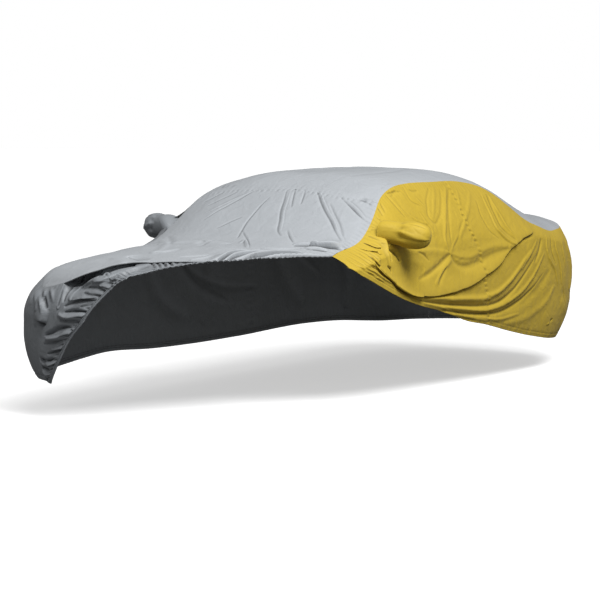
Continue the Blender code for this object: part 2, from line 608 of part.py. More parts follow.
def main():
    for obj in list(bpy.data.objects):
        bpy.data.objects.remove(obj, do_unlink=True)
    cover, cutters = (bpy.data.collections.new(name) for name in ("car_cover", "cutters"))
    for collection in (cover, cutters):
        bpy.context.scene.collection.children.link(collection)

    panel("bonnet_panel", bonnet_points(), GREY_TOP,
          lambda row, column: column == ACROSS and row <= HEM_CELLS, cover)
    panel("roof_panel", roof_points(), GREY_TOP, lambda row, column: False, cover)
    panel("nose_panel", nose_points(), GREY_SIDE,
          lambda row, column: column == NOSE_ACROSS or row == NOSE_ROWS, cover)
    near = panel("near_front_side", near_front_points(), YELLOW, at_foot(SIDE_ROWS), cover)
    panel("near_rear_side", near_rear_points(), YELLOW, at_foot(SIDE_ROWS), cover)
    far = panel("far_front_side", far_front_points(), GREY_SIDE, at_foot(FAR_ROWS), cover)
    panel("far_rear_side", far_rear_points(), GREY_SIDE, at_foot(FAR_ROWS), cover)
    panel("tail_panel", tail_points(), GREY_SIDE, at_foot(FAR_ROWS), cover)
    cut_pocket_hole(near, NEAR_POCKET, cutters)
    cut_pocket_hole(far, FAR_POCKET, cutters)
    mirror_pocket("near_mirror_pocket", NEAR_POCKET, YELLOW, cover)
    mirror_pocket("far_mirror_pocket", FAR_POCKET, GREY_SIDE, cover)


main()
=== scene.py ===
"""Looks of the fitted cloth cover: eight sewn panels and two mirror pockets, each one a fine sheet
laid on the form of its solid, with its folds, gathers, seams and turned hem, in woven polyester.

The form tables are those of the solids: they give x and y from the mount and heights above the
ground. The model's origin is the mount, under the middle of the roof panel. Girth runs along the
outline in plan, from the middle of the nose to the middle of the tail.
"""

from collections import namedtuple

import bpy
import bmesh
import numpy as np
from mathutils import Matrix, Vector


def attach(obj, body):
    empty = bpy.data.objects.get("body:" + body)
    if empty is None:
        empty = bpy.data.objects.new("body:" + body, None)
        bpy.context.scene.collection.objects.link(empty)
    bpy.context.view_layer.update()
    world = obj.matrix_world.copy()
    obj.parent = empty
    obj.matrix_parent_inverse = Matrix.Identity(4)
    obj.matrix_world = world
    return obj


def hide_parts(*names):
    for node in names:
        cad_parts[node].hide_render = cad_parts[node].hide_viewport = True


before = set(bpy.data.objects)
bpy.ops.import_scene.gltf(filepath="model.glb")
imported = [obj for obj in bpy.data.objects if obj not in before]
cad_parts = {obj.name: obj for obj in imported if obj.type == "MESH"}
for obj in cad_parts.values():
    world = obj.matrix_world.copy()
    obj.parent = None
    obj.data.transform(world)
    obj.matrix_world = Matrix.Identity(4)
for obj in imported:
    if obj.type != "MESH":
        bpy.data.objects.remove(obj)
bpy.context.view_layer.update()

# ---------------------------------------------------------------- driving sizes
# Single sizes are in metres, and the rows of tables in millimetres.
MOUNT_HEIGHT = 1.485      # underside of the roof cloth above the ground
INSIDE = np.array((0.1, 0, -0.9))     # a place under the cloth, from the mount
LOW_START, LOW_DEPTH = 0.50, 0.28     # where the section turns in below, and over what depth
WAIST = 0.60
CROWN, TUMBLE = 3.6, 1.6              # how squarely the top rounds over, and the sides lean in
NOSE_CORNER, HEM_END, HEADER, UPRIGHT_SEAM, TAIL_SEAM = 0.42, 1.96, 2.63, 3.69, 5.87
CLOTH_LIFT = 0.0018       # the sheet lies on the outer face of its solid
HEM_ROLL = 0.003          # radius of the hem's turned edge
HEM_RETURN = 0.016        # depth of the part turned inside
CHANNEL = 0.026           # height of the sewn channel that holds the elastic
NEAR_CHANNEL = 0.7        # how far it stands out on the near side, where 1 is the far side
PUFF_PITCH = 0.034        # between the stitches that draw up a gathered edge
NOTCH = 0.004             # how far each of them draws the edge in
PUFFS_END = 0.75          # length of the bonnet hem that is gathered
SIDE_ROWS = 195           # cells down every upright cloth, the same so that their seams close
TINY = 1e-12              # keeps a division from nothing by nothing


def table(columns, rows, unit=1000):
    """Rows of numbers, in millimetres unless another unit is given, as named columns in metres."""
    return dict(zip(columns.split(), np.array(rows, float).T / unit))


TOP = table("x height half_width drop bow", [
    (-2400, 940, 780, 60, -160), (-2300, 1030, 780, 65, -160), (-2200, 1090, 780, 80, -160),
    (-2000, 1124, 780, 95, -150), (-1700, 1165, 820, 130, -150), (-1400, 1265, 840, 170, -140),
    (-1100, 1385, 790, 195, -100), (-800, 1452, 700, 125, -40), (-450, 1480, 655, 95, 0),
    (0, 1485, 650, 85, 0), (350, 1472, 650, 80, 0), (600, 1440, 660, 75, 0), (800, 1365, 700, 66, 10),
    (1050, 1225, 750, 80, 40), (1280, 1095, 780, 82, 30), (1450, 1045, 780, 74, 20),
    (1800, 1010, 800, 70, 50), (2200, 975, 800, 58, 180), (2500, 940, 800, 45, 280),
    (2660, 905, 800, 40, 300), (2740, 862, 800, 35, 300), (2790, 818, 800, 30, 300),
    (2850, 762, 800, 30, 300),
])
RING = table("x y low_in shoulder shoulder_in top_in", [
    (2780, 0, 20, 720, 15, 60), (2770, 280, 20, 720, 15, 60), (2742, 520, 30, 720, 15, 70),
    (2685, 690, 70, 720, 25, 95), (2580, 810, 85, 740, 35, 130), (2420, 885, 70, 760, 40, 160),
    (2100, 932, 30, 820, 40, 160), (1700, 948, 30, 860, 35, 165), (1380, 952, 30, 900, 30, 215),
    (1170, 953, 30, 940, 35, 193), (970, 954, 30, 970, 45, 219), (750, 955, 30, 990, 50, 275),
    (500, 955, 30, 1000, 55, 308), (50, 955, 30, 1010, 55, 305), (-650, 955, 30, 1010, 55, 293),
    (-1050, 952, 30, 1000, 45, 165), (-1400, 945, 30, 950, 35, 102), (-1700, 915, 60, 920, 30, 95),
    (-1960, 835, 100, 910, 28, 85), (-2130, 700, 80, 910, 25, 85), (-2220, 500, 30, 920, 20, 85),
    (-2255, 260, 20, 930, 20, 85), (-2265, 0, 20, 930, 20, 85),
])
GIRTH = np.concatenate([[0], np.cumsum(np.hypot(np.diff(RING["x"]), np.diff(RING["y"])))])
TAIL_MIDDLE = GIRTH[-1]
NEAR_HEM = table("girth height", [
    (1930, 930), (2010, 876), (2150, 815), (2360, 733), (2560, 669), (2770, 617), (3020, 566),
    (3210, 516), (3400, 466), (3690, 415), (3910, 373), (4150, 332), (4530, 273), (4920, 222),
    (5250, 208), (5550, 225), (5900, 240),
])
SEAM_LINE = table("height girth", [
    (400, 3755), (550, 3755), (700, 3715), (840, 3690), (920, 3672), (1000, 3640), (1060, 3612),
    (1110, 3600), (1160, 3610), (1240, 3645), (1320, 3670), (1380, 3690),
])
FAR_HEM = table("girth height", [
    (520, 232), (900, 228), (1400, 250), (1900, 285), (2400, 262), (3400, 255), (4400, 275),
    (4900, 262), (5400, 232), (5900, 240),
])
TAIL_HEM_RISE = 0.015
BONNET_HEM = table("x y", [
    (2304, 355), (2206, 419), (2134, 479), (2025, 523), (1876, 615), (1691, 696), (1516, 764),
])
LIP = table("x y", [
    (2680, -400), (2690, -330), (2680, -250), (2645, -170), (2550, -110), (2400, 20), (2330, 200),
    (2304, 355),
])
LIP_RISE, LIP_REACH = 0.012, 0.10
HEADER_BOW = table("across forward", [
    (-1.00, 0.000), (-0.80, -0.012), (-0.30, 0.000), (0.15, -0.010), (0.36, 0.018), (0.74, 0.034),
    (1.00, 0.000),
], unit=1)
NOSE_TOP = table("y up back", [
    (-420, 0, 0), (-390, -25, 12), (-340, -38, 30), (-270, -30, 26), (-200, 10, 16), (-150, 85, 10),
    (-90, 190, 8), (20, 330, 8), (200, 395, 8), (355, 400, 6),
])
NOSE_HEM = table("y up", [
    (-495, -590), (-399, -470), (-299, -344), (-204, -255), (-140, -180), (-60, -100), (20, -30),
    (130, 30), (202, 95), (247, 170), (307, 270), (355, 385),
])
CORNER_SEAM = table("y height", [
    (-420, 800), (-450, 700), (-490, 600), (-545, 500), (-585, 400), (-580, 300), (-545, 232),
])
NEAR_POCKET = ((0.980, 0.850, 1.103), (0.900, 1.125, 1.070))
FAR_POCKET = ((0.985, -0.845, 1.100), (0.905, -1.045, 1.088))
NEAR_POCKET_PLACE, FAR_POCKET_PLACE = (2.40, 1.105), (2.45, 1.105)   # girth and height
POCKET_HALF = (0.082, 0.074)          # half its width and half its height
POCKET_RADIUS = 0.078                 # and their mean
POCKET = table("along wide high", [
    (-0.17, 0.98, 0.98), (-0.10, 1.00, 1.00), (0.02, 1.01, 1.01), (0.30, 1.00, 1.00),
    (0.44, 1.06, 1.12), (0.61, 1.08, 1.18), (0.78, 0.98, 1.08), (0.91, 0.74, 0.84),
    (0.98, 0.40, 0.46), (1.00, 0.00, 0.00),
], unit=1)

# ---------------------------------------------------------------- creases, as lines on the cloth
# Each row is one crease, in millimetres: its rise (a trough where negative), its width on the left
# and on the right seen along it, then the places that it runs through. A narrow side is a steep one,
# where the cloth tucks under.
def crease_lines(*rows):
    """Rows in millimetres as rise, left width, right width and an array of places, in metres."""
    return [(*row[:3], row[3:].reshape(-1, 2)) for row in (np.array(row) / 1000 for row in rows)]


# Sides: places are (girth, height). Left is above where the line runs to the tail.
NEAR_CREASES = crease_lines(
    (23, 75, 20, 2418, 795, 2586, 735, 2845, 700, 3055, 700, 3279, 715, 3461, 735, 3671, 785, 3930, 855,
     4126, 940, 4350, 1000, 4602, 1030),
    (18, 20, 26, 2600, 710, 2845, 670, 3132, 640, 3433, 620, 3692, 610, 3895, 640, 4098, 705, 4301, 800,
     4504, 900),
    (-11, 14, 12, 2747, 650, 3027, 610, 3321, 580, 3629, 555, 3895, 560, 4154, 630, 4385, 745, 4581, 855),
    (14, 18, 20, 2796, 630, 3027, 590, 3321, 555, 3622, 530, 3860, 530, 4105, 565, 4371, 650, 4616, 790,
     4728, 865),
    (-9, 12, 12, 3027, 570, 3321, 530, 3629, 500, 3916, 490, 4175, 525, 4462, 610, 4700, 725),
    (9, 14, 16, 3118, 550, 3342, 505, 3601, 470, 3916, 440, 4252, 455),
    (-7, 10, 10, 3244, 510, 3398, 485, 3566, 460),
    (7, 30, 30, 4007, 400, 4343, 415, 4686, 500, 4903, 620),
    (-8, 35, 35, 3944, 495, 4273, 530, 4567, 615, 4812, 735),
    (12, 16, 4, 2222, 965, 2222, 940, 2257, 910),
    (-10, 8, 8, 2236, 905, 2320, 850, 2411, 795, 2509, 755, 2642, 710, 2803, 690),
    (20, 24, 6, 2187, 925, 2278, 870, 2369, 825, 2460, 775, 2586, 730, 2761, 705),
    (16, 12, 14, 2404, 1075, 2390, 1030, 2369, 980, 2369, 930, 2376, 880),
    (-8, 10, 8, 2341, 895, 2376, 875, 2390, 855),
    (14, 22, 5, 2222, 1010, 2271, 1010, 2299, 1000, 2299, 970),
    (8, 12, 12, 2215, 990, 2243, 985, 2250, 965, 2271, 935),
    (12, 20, 5, 2278, 1050, 2299, 1045, 2313, 1030, 2348, 1025),
    (-8, 9, 9, 2390, 1105, 2418, 1115, 2446, 1120),
    (-10, 9, 9, 2425, 1145, 2446, 1135, 2453, 1115, 2446, 1090),
    (-6, 8, 10, 2173, 985, 2159, 950, 2180, 915),
    (6, 10, 10, 2103, 975, 2096, 940, 2138, 900),
    (-6, 8, 8, 2061, 965, 2061, 940, 2068, 910),
    (-28, 18, 18, 2432, 1050, 2425, 1010, 2453, 985, 2502, 955, 2523, 915),
    (-13, 12, 12, 2418, 1010, 2411, 965, 2411, 920),
    (8, 8, 8, 2082, 990, 2082, 955, 2082, 915, 2187, 865, 2313, 810, 2439, 765),
    (-7, 7, 7, 2124, 1000, 2124, 965, 2131, 925, 2222, 875),
    (7, 7, 7, 2019, 970, 2019, 940, 2040, 905, 2145, 855, 2285, 800),
    (-6, 7, 7, 2012, 960, 2005, 925, 2075, 880, 2208, 830),
    (8, 8, 8, 2159, 1005, 2145, 970, 2152, 935, 2229, 890),
    (-8, 7, 7, 2194, 1005, 2201, 980, 2208, 950, 2236, 925),
    (9, 9, 9, 2229, 1015, 2243, 995, 2243, 965, 2257, 930),
    (8, 10, 8, 2299, 1055, 2327, 1050, 2341, 1035, 2341, 1010),
    (8, 10, 8, 2362, 1095, 2376, 1085, 2383, 1070, 2376, 1040),
    (8, 9, 9, 2439, 1150, 2453, 1135, 2453, 1110),
    (-8, 8, 8, 2362, 1080, 2369, 1065, 2383, 1050),
    (8, 10, 8, 2544, 1235, 2537, 1200, 2537, 1180),
    (-8, 8, 8, 2593, 1260, 2593, 1230, 2579, 1195),
    (-6, 8, 8, 2656, 1295, 2642, 1260, 2621, 1215),
    (-12, 50, 60, 2544, 910, 2649, 865, 2831, 830),
    (7, 22, 30, 2600, 985, 2803, 970, 3013, 965, 3209, 945),
    (-5, 10, 12, 2775, 965, 2859, 940, 2922, 900),
    (-12, 18, 20, 3230, 930, 3125, 890, 3013, 850, 2887, 815, 2740, 790),
    (8, 20, 16, 3230, 895, 3125, 845, 3020, 795, 2943, 755),
    (-7, 12, 14, 3160, 850, 3076, 800, 2992, 750),
    (-12, 20, 30, 3237, 920, 3293, 870, 3419, 840, 3587, 855, 3811, 895, 4105, 950),
    (7, 30, 20, 3209, 945, 3328, 915, 3503, 900, 3699, 935, 3965, 965, 4245, 975),
    (9, 18, 20, 3629, 1370, 3426, 1245, 3265, 1115, 3195, 1020, 3209, 955),
    (-5, 12, 16, 3678, 1365, 3440, 1210, 3307, 1070, 3272, 990),
    (7, 20, 16, 3944, 1330, 3727, 1215, 3566, 1130, 3433, 1055, 3314, 990, 3230, 945),
    (-6, 14, 12, 3580, 1150, 3475, 1090, 3363, 1010, 3279, 965),
    (5, 16, 14, 3454, 1375, 3286, 1260, 3167, 1170),
    (-5, 12, 12, 3377, 1370, 3188, 1250, 3125, 1170, 3153, 1140, 3258, 1170, 3391, 1255, 3524, 1355),
    (5, 12, 10, 3034, 1210, 3041, 1150, 3069, 1105, 3069, 1070),
    (4, 10, 10, 2873, 1205, 2929, 1170, 3048, 1140),
    (-5, 8, 10, 2754, 1335, 2768, 1295, 2782, 1240, 2810, 1180),
    (4, 10, 8, 2775, 1345, 2796, 1295, 2810, 1245, 2845, 1190),
    (-4, 8, 10, 3041, 1380, 3027, 1335, 3020, 1295, 3104, 1250),
    (-6, 8, 8, 2775, 1340, 2838, 1340, 2929, 1355),
    (-5, 8, 8, 2803, 1315, 2880, 1340, 2971, 1350),
    (-5, 10, 10, 3090, 1355, 3125, 1345, 3195, 1350),
    (4, 10, 10, 3104, 1305, 3125, 1270, 3146, 1245),
    (4, 14, 12, 3776, 1355, 3678, 1270, 3587, 1185),
    (12, 14, 12, 4105, 1305, 4063, 1235, 4035, 1155, 4028, 1080, 4077, 1025, 4154, 995, 4252, 975),
    (-9, 16, 12, 4175, 1305, 4133, 1230, 4112, 1155, 4112, 1085, 4161, 1035, 4252, 1000),
    (9, 12, 12, 4203, 1310, 4175, 1230, 4182, 1150, 4196, 1080, 4238, 1030),
    (-5, 10, 10, 3951, 1265, 3888, 1160, 3902, 1070, 4007, 1000),
    (9, 12, 14, 4833, 1000, 4784, 915, 4819, 820, 4917, 730, 4973, 600),
    (-7, 10, 12, 4917, 980, 4889, 875, 4945, 770),
    (8, 12, 12, 5001, 985, 4973, 895, 5022, 780, 5050, 615),
    (7, 12, 12, 5127, 960, 5113, 865, 5141, 745),
    (-7, 14, 14, 5078, 600, 5127, 490, 5211, 375),
    (7, 12, 12, 4630, 960, 4469, 865, 4294, 765),
    (-9, 14, 14, 4714, 970, 4644, 885, 4539, 805),
    (6, 8, 8, 4756, 335, 4847, 360),
    (-9, 8, 8, 4798, 345, 4868, 370),
    (14, 50, 60, 5260, 930, 5358, 760, 5365, 660, 5267, 555),
    (10, 50, 60, 5029, 500, 5183, 395, 5134, 260),
)
FAR_CREASES = crease_lines(
    # the light facet beside the nose corner and the folds that frame it
    (-26, 16, 14, 751, 802, 610, 769, 535, 727, 493, 676),
    (20, 16, 30, 733, 796, 580, 751, 517, 688, 490, 634),
    (16, 14, 14, 535, 799, 478, 763, 454, 715),
    (20, 18, 14, 451, 676, 481, 613, 517, 529, 547, 451),
    (-10, 20, 30, 640, 556, 577, 574, 526, 571),
    (42, 14, 150, 604, 604, 544, 604, 487, 604, 454, 637),
    (18, 20, 50, 712, 772, 622, 718, 601, 649),
    # the side that the near one hides
    (12, 60, 70, 950, 800, 1100, 600, 1000, 350),
    (-12, 80, 80, 1600, 820, 1800, 600, 1700, 380),
    (14, 60, 60, 2350, 920, 2500, 650, 2900, 420),
    (10, 30, 30, 2660, 950, 2900, 780, 3300, 640, 3800, 600),
    (-10, 30, 40, 2700, 880, 2950, 680, 3400, 520),
    (12, 80, 80, 3100, 950, 3200, 650, 3050, 380),
    (14, 80, 80, 4000, 980, 4150, 700, 4450, 420),
    (-8, 30, 30, 4200, 1100, 4350, 850, 4700, 650),
    (14, 70, 70, 4950, 850, 5100, 600, 5050, 350),
    (-10, 40, 40, 5200, 950, 5300, 700, 5450, 500),
)
# Top: places are (x, y). Left is the near side where the line runs to the nose.
TOP_CREASES = crease_lines(
    # down the screen
    (-9, 9, 9, 812, 230, 914, 315, 1010, 410, 1082, 490, 1166, 575, 1244, 665),
    (8, 9, 9, 830, 265, 932, 350, 1028, 445, 1094, 520, 1178, 600, 1250, 690),
    (-10, 7, 7, 848, 415, 890, 485, 938, 565, 974, 630, 998, 695, 1010, 735),
    (9, 7, 7, 860, 440, 902, 515, 938, 595, 974, 660, 1004, 715),
    (-8, 5, 5, 854, 545, 860, 595, 860, 645, 884, 690),
    (-9, 5, 5, 842, 580, 824, 635, 824, 670, 842, 705),
    (-6, 7, 7, 938, 405, 1022, 490, 1100, 570, 1202, 660),
    (-8, 7, 7, 830, 10, 938, 55, 1046, 95, 1142, 145, 1244, 195, 1340, 280),
    (5, 7, 7, 842, 45, 950, 85, 1058, 125, 1154, 175, 1262, 225),
    (-7, 7, 7, 806, 65, 926, 115, 1010, 155),
    (-7, 7, 7, 800, 140, 902, 180, 974, 205),
    (-7, 7, 7, 1238, 265, 1346, 350, 1430, 425),
    (-7, 7, 7, 914, -70, 986, -85, 1076, -85, 1172, -85, 1262, -65, 1424, 0),
    (-7, 7, 7, 824, -225, 902, -275, 974, -330, 1052, -390, 1148, -445),
    (-6, 7, 7, 1124, -150, 1178, -215, 1250, -275),
    (-9, 7, 7, 830, -485, 878, -545, 914, -600),
    (-7, 7, 7, 848, -365, 914, -450, 980, -535),
    (6, 7, 7, 872, -270, 944, -350, 1028, -440, 1070, -490),
    (-6, 7, 7, 1256, -70, 1436, 85, 1604, 210),
    (-8, 7, 7, 776, -630, 746, -625),
    (-8, 7, 7, 788, -580, 680, -630),
    (-9, 7, 7, 782, -545, 680, -590),
    (-8, 7, 7, 770, -520, 710, -535),
    (-6, 7, 7, 782, -460, 734, -470),
    (-9, 8, 8, 668, 630, 608, 630, 578, 635),
    (-9, 8, 8, 512, 610, 506, 640, 512, 670),
    (-7, 8, 8, 572, 615, 512, 620, 512, 650),
    (34, 55, 12, 1425, 550, 1400, 605, 1370, 650, 1342, 700, 1325, 750, 1298, 810),
    (16, 30, 10, 1470, 450, 1440, 510, 1415, 560, 1400, 590),
    (14, 30, 10, 1510, 560, 1470, 620, 1440, 680),
    (28, 40, 12, 2282, 390, 2150, 345, 2000, 315, 1886, 320, 1838, 360),
    (24, 34, 11, 2210, 415, 2054, 375, 1940, 380, 1850, 425, 1802, 485),
    (36, 40, 12, 2204, 480, 2090, 480, 1982, 495, 1874, 530, 1784, 580, 1676, 635),
    (-12, 12, 14, 2078, 440, 1964, 455, 1850, 485, 1748, 535, 1628, 595),
    (26, 30, 11, 2090, 535, 1964, 555, 1856, 600, 1724, 665, 1550, 730),
    (-11, 20, 20, 2174, 70, 2114, 140, 2030, 195),
    (11, 20, 20, 2276, 215, 2198, 255, 2054, 240),
    (-11, 20, 20, 2210, -290, 2228, -195, 2288, -75),
    (-11, 20, 20, 1568, -430, 1538, -390, 1526, -325),
    (11, 20, 20, 2078, -220, 2024, -145, 1880, -130),
    (-9, 20, 20, 1700, -100, 1556, -135, 1466, -150),
    (9, 12, 12, 1556, 105, 1466, 80, 1706, 260),
    (11, 20, 20, 1670, 340, 1634, 450, 1532, 535),
    # soft shapes on the bonnet
    (-15, 50, 60, 2180, -280, 2280, -160, 2360, -60),
    (11, 50, 50, 2260, -340, 2400, -200, 2520, -100),
    (15, 60, 60, 1660, -450, 1550, -250, 1600, 50),
    (-9, 20, 30, 1480, -220, 1550, -170, 1640, -150),
    (8, 30, 30, 1420, -600, 1600, -420, 1900, -250, 2100, -180),
    (-8, 25, 25, 1300, -620, 1500, -450, 1720, -320),
    # roof and tail
    (-12, 90, 90, -1150, -500, -1300, 0, -1150, 500),
    (5, 30, 30, 700, -400, 300, -150, -200, 100, -700, 250),
    (-4, 25, 35, 600, 350, 100, 400, -500, 300),
    (8, 40, 40, -1000, 450, -1400, 300, -1800, 400),
    (8, 40, 40, -1000, -450, -1400, -300, -1800, -420),
)
# Nose cloth: places are (y, up), with up measured along the cloth from the nose's top edge.
NOSE_CREASES = crease_lines(
    # the fold that gapes under the edge of the bonnet cloth
    (-34, 60, 30, -400, -20, -330, -45, -260, -40, -200, -10, -150, 70, -95, 165, -30, 240),
    (-12, 10, 10, -21, 361, 60, 274, 123, 208),
    (-12, 10, 10, -6, 403, 96, 283, 168, 205),
    (-12, 10, 10, 45, 397, 132, 292, 195, 226),
    (-12, 10, 10, 66, 436, 150, 328, 210, 256),
    (-10, 10, 10, 102, 436, 189, 349, 258, 289),
    (-8, 10, 10, 159, 439, 246, 358, 300, 328),
    (10, 10, 10, 48, 295, 126, 214, 189, 148),
    (10, 10, 10, 87, 304, 162, 223, 225, 157),
    (10, 10, 10, 117, 328, 192, 241, 249, 175),
    (10, 10, 10, 144, 355, 222, 265, 273, 211),
    (30, 18, 22, -288, -44, -261, -26, -195, -11, -132, -2, -96, 1, -84, 16),
    (12, 8, 10, -108, 10, -120, 52, -84, 34),
    (26, 14, 16, -51, -2, -24, 4, 9, 28, 36, 67, 66, 118, 75, 193),
    (-30, 16, 18, -69, 13, -39, 43, -9, 82, 12, 142, 30, 208, 60, 259),
    (12, 10, 10, -24, -20, 42, -17, 96, -5, 141, 13),
    (8, 8, 8, 63, 4, 105, 34, 150, 70),
    (10, 12, 12, -123, -38, -63, -44, -15, -62),
    (-14, 10, 12, -273, -59, -195, -53, -120, -59, -57, -80),
    (-12, 10, 12, -231, -80, -168, -101, -99, -110, -48, -107),
    (12, 12, 10, -309, -119, -258, -104, -183, -104, -114, -113),
    (-22, 10, 14, -363, -146, -318, -134, -267, -125, -198, -125, -129, -137),
    (-10, 10, 10, -243, -164, -186, -155, -132, -155),
    (-22, 12, 10, -357, -182, -288, -185, -216, -197, -147, -215),
    (22, 12, 22, -405, -176, -357, -200, -294, -212, -225, -209, -159, -215),
    (-10, 16, 16, -393, -227, -315, -248, -219, -254),
    (-26, 14, 12, -552, -290, -474, -287, -405, -272, -342, -275, -270, -311),
    (24, 12, 24, -513, -311, -435, -314, -378, -311, -333, -296, -267, -305, -216, -326),
    (-10, 12, 12, -537, -344, -444, -350, -363, -350),
    (12, 10, 12, -462, -389, -387, -386, -333, -377, -276, -398),
    (-14, 10, 10, -507, -407, -417, -404, -351, -401),
    (-26, 12, 12, -633, -401, -585, -431, -525, -452, -444, -440),
    (18, 10, 12, -552, -443, -495, -467, -432, -467),
    (-24, 12, 12, -633, -455, -576, -485, -501, -506),
    (16, 10, 10, -579, -491, -528, -521, -477, -536),
    (-18, 10, 10, -636, -524, -582, -551, -522, -566),
    (-24, 10, 12, -405, 28, -411, -38, -408, -86, -411, -137),
    (14, 10, 10, -405, -8, -405, -53, -408, -107, -411, -152),
    (-20, 10, 10, -369, 1, -378, -59, -372, -119),
    (12, 10, 12, -315, -41, -327, -80, -321, -119),
)


# ---------------------------------------------------------------- curves and sections
def flow(at, knots, values):
    """A smooth curve through the values at rising knots."""
    at = np.clip(at, knots[0], knots[-1])
    step = np.diff(knots)
    rise = np.diff(values) / step
    slope = np.concatenate([
        rise[:1], (rise[:-1] * step[1:] + rise[1:] * step[:-1]) / (step[1:] + step[:-1]), rise[-1:]])
    i = np.clip(np.searchsorted(knots, at, side="right") - 1, 0, len(knots) - 2)
    h = step[i]
    t = (at - knots[i]) / h
    start = (1 + 2 * t) * (1 - t)**2 * values[i] + t * (1 - t)**2 * h * slope[i]
    return start + t * t * (3 - 2 * t) * values[i + 1] + t * t * (t - 1) * h * slope[i + 1]


def shares(cells):
    """Even shares of the way along this many cells."""
    return np.linspace(0, 1, cells + 1)


def lengths(points):
    """How far along a line each of its points lies."""
    return np.concatenate([[0], np.cumsum(np.linalg.norm(np.diff(points, axis=0), axis=1))])


def smooth_line(points, count):
    """Count + 1 places, even in length, on a smooth curve through the points, and its length."""
    knots = lengths(points)
    at = np.linspace(0, knots[-1], count + 1)
    return np.stack([flow(at, knots, points[:, 0]), flow(at, knots, points[:, 1])], -1), knots[-1]


def along(rows, first, second, count):
    """A smooth line through two columns of a table."""
    return smooth_line(np.stack([rows[first], rows[second]], -1), count)[0]


def soft_step(t):
    """From 0 to 1 as t does, level at both ends."""
    t = np.clip(t, 0, 1)
    return t * t * (3 - 2 * t)


def ramp(away, reach):
    """0 at a border and 1 from this reach on, level at both ends."""
    return soft_step(away / reach)


def fading(away, reach):
    """1 at the place itself, fading to nothing within about twice the reach."""
    return np.exp(-(away / reach)**2)


def apart(places, others):
    return np.linalg.norm(places - others, axis=-1)


def top_height(x, y):
    """Height of the form's top over a place in plan."""
    out = np.abs(y) / flow(x, TOP["x"], TOP["half_width"])
    swept = x + flow(x, TOP["x"], TOP["bow"]) * np.minimum(out, 1.3)**2
    return flow(swept, TOP["x"], TOP["height"]) - flow(x, TOP["x"], TOP["drop"]) * out**CROWN


def ring(girth, column):
    return flow(np.abs(girth), GIRTH, RING[column])


def outline(girth):
    """The plan outline at a girth, near side positive, with its outward direction."""
    hand = np.where(girth < 0, -1.0, 1.0)
    step = 0.001
    ahead, behind = np.abs(girth) + step, np.maximum(np.abs(girth) - step, 0)
    dx, dy = ring(ahead, "x") - ring(behind, "x"), ring(ahead, "y") - ring(behind, "y")
    size = np.hypot(dx, dy)
    return ring(girth, "x"), ring(girth, "y") * hand, dy / size, -dx / size * hand


def edge(girth):
    """The seam line where the sides meet the top."""
    x, y, out_x, out_y = outline(girth)
    inward = ring(girth, "top_in")
    x, y = x - out_x * inward, y - out_y * inward
    return np.stack([x, y, top_height(x, y)], -1)


def side(girth, height, stand_off):
    """A point of the sides, nose or tail, pushed out by stand_off."""
    x, y, out_x, out_y = outline(girth)
    top = edge(girth)[..., 2]
    shoulder, shoulder_in = ring(girth, "shoulder"), ring(girth, "shoulder_in")
    under = np.clip((LOW_START - height) / LOW_DEPTH, 0, 1.2)
    below = np.clip((height - WAIST) / (shoulder - WAIST), 0, 1)
    above = np.clip((height - shoulder) / (top - shoulder), 0, 1.3)
    lean = 2 * shoulder_in / (shoulder - WAIST) * (top - shoulder)
    inward = ring(girth, "low_in") * under**2 + shoulder_in * below**2
    inward += lean * above + (ring(girth, "top_in") - shoulder_in - lean) * above**TUMBLE
    inward = inward - stand_off
    return np.stack([x - out_x * inward, y - out_y * inward, height + 0 * x], -1)


def nose_point(y, up, stand_off):
    """A point of the nose cloth: up is along the cloth from the nose's top edge, y across."""
    brow = edge(y)
    x = brow[..., 0] - np.maximum(up, 0)
    over = np.stack([x, y, top_height(x, y) + stand_off], -1)
    face = side(y, brow[..., 2] + np.minimum(up, 0), stand_off)
    return np.where(up[..., None] > 0, over, face)


def patch(front, back, far, near):
    """Points between four border lines: front and back run far to near, far and near run back."""
    u = np.linspace(0, 1, len(far))[:, None, None]
    v = np.linspace(0, 1, len(front))[None, :, None]
    between = (1 - v) * far[:, None] + v * near[:, None] + (1 - u) * front[None] + u * back[None]
    corners = (1 - u) * ((1 - v) * front[0] + v * front[-1]) + u * ((1 - v) * back[0] + v * back[-1])
    return between - corners


# ---------------------------------------------------------------- how the cloth creases and gathers
LINE_STEPS = 60           # places along a crease line
LEAN = 1.5                # a one-sided fold leans over its steep side by about this many heights
OVERHANG = 0.4            # it has a hollow under it where its narrow side is below this share
HOLLOW_DEPTH, HOLLOW_WIDTH, HOLLOW_OFF = 0.8, 0.012, 0.010


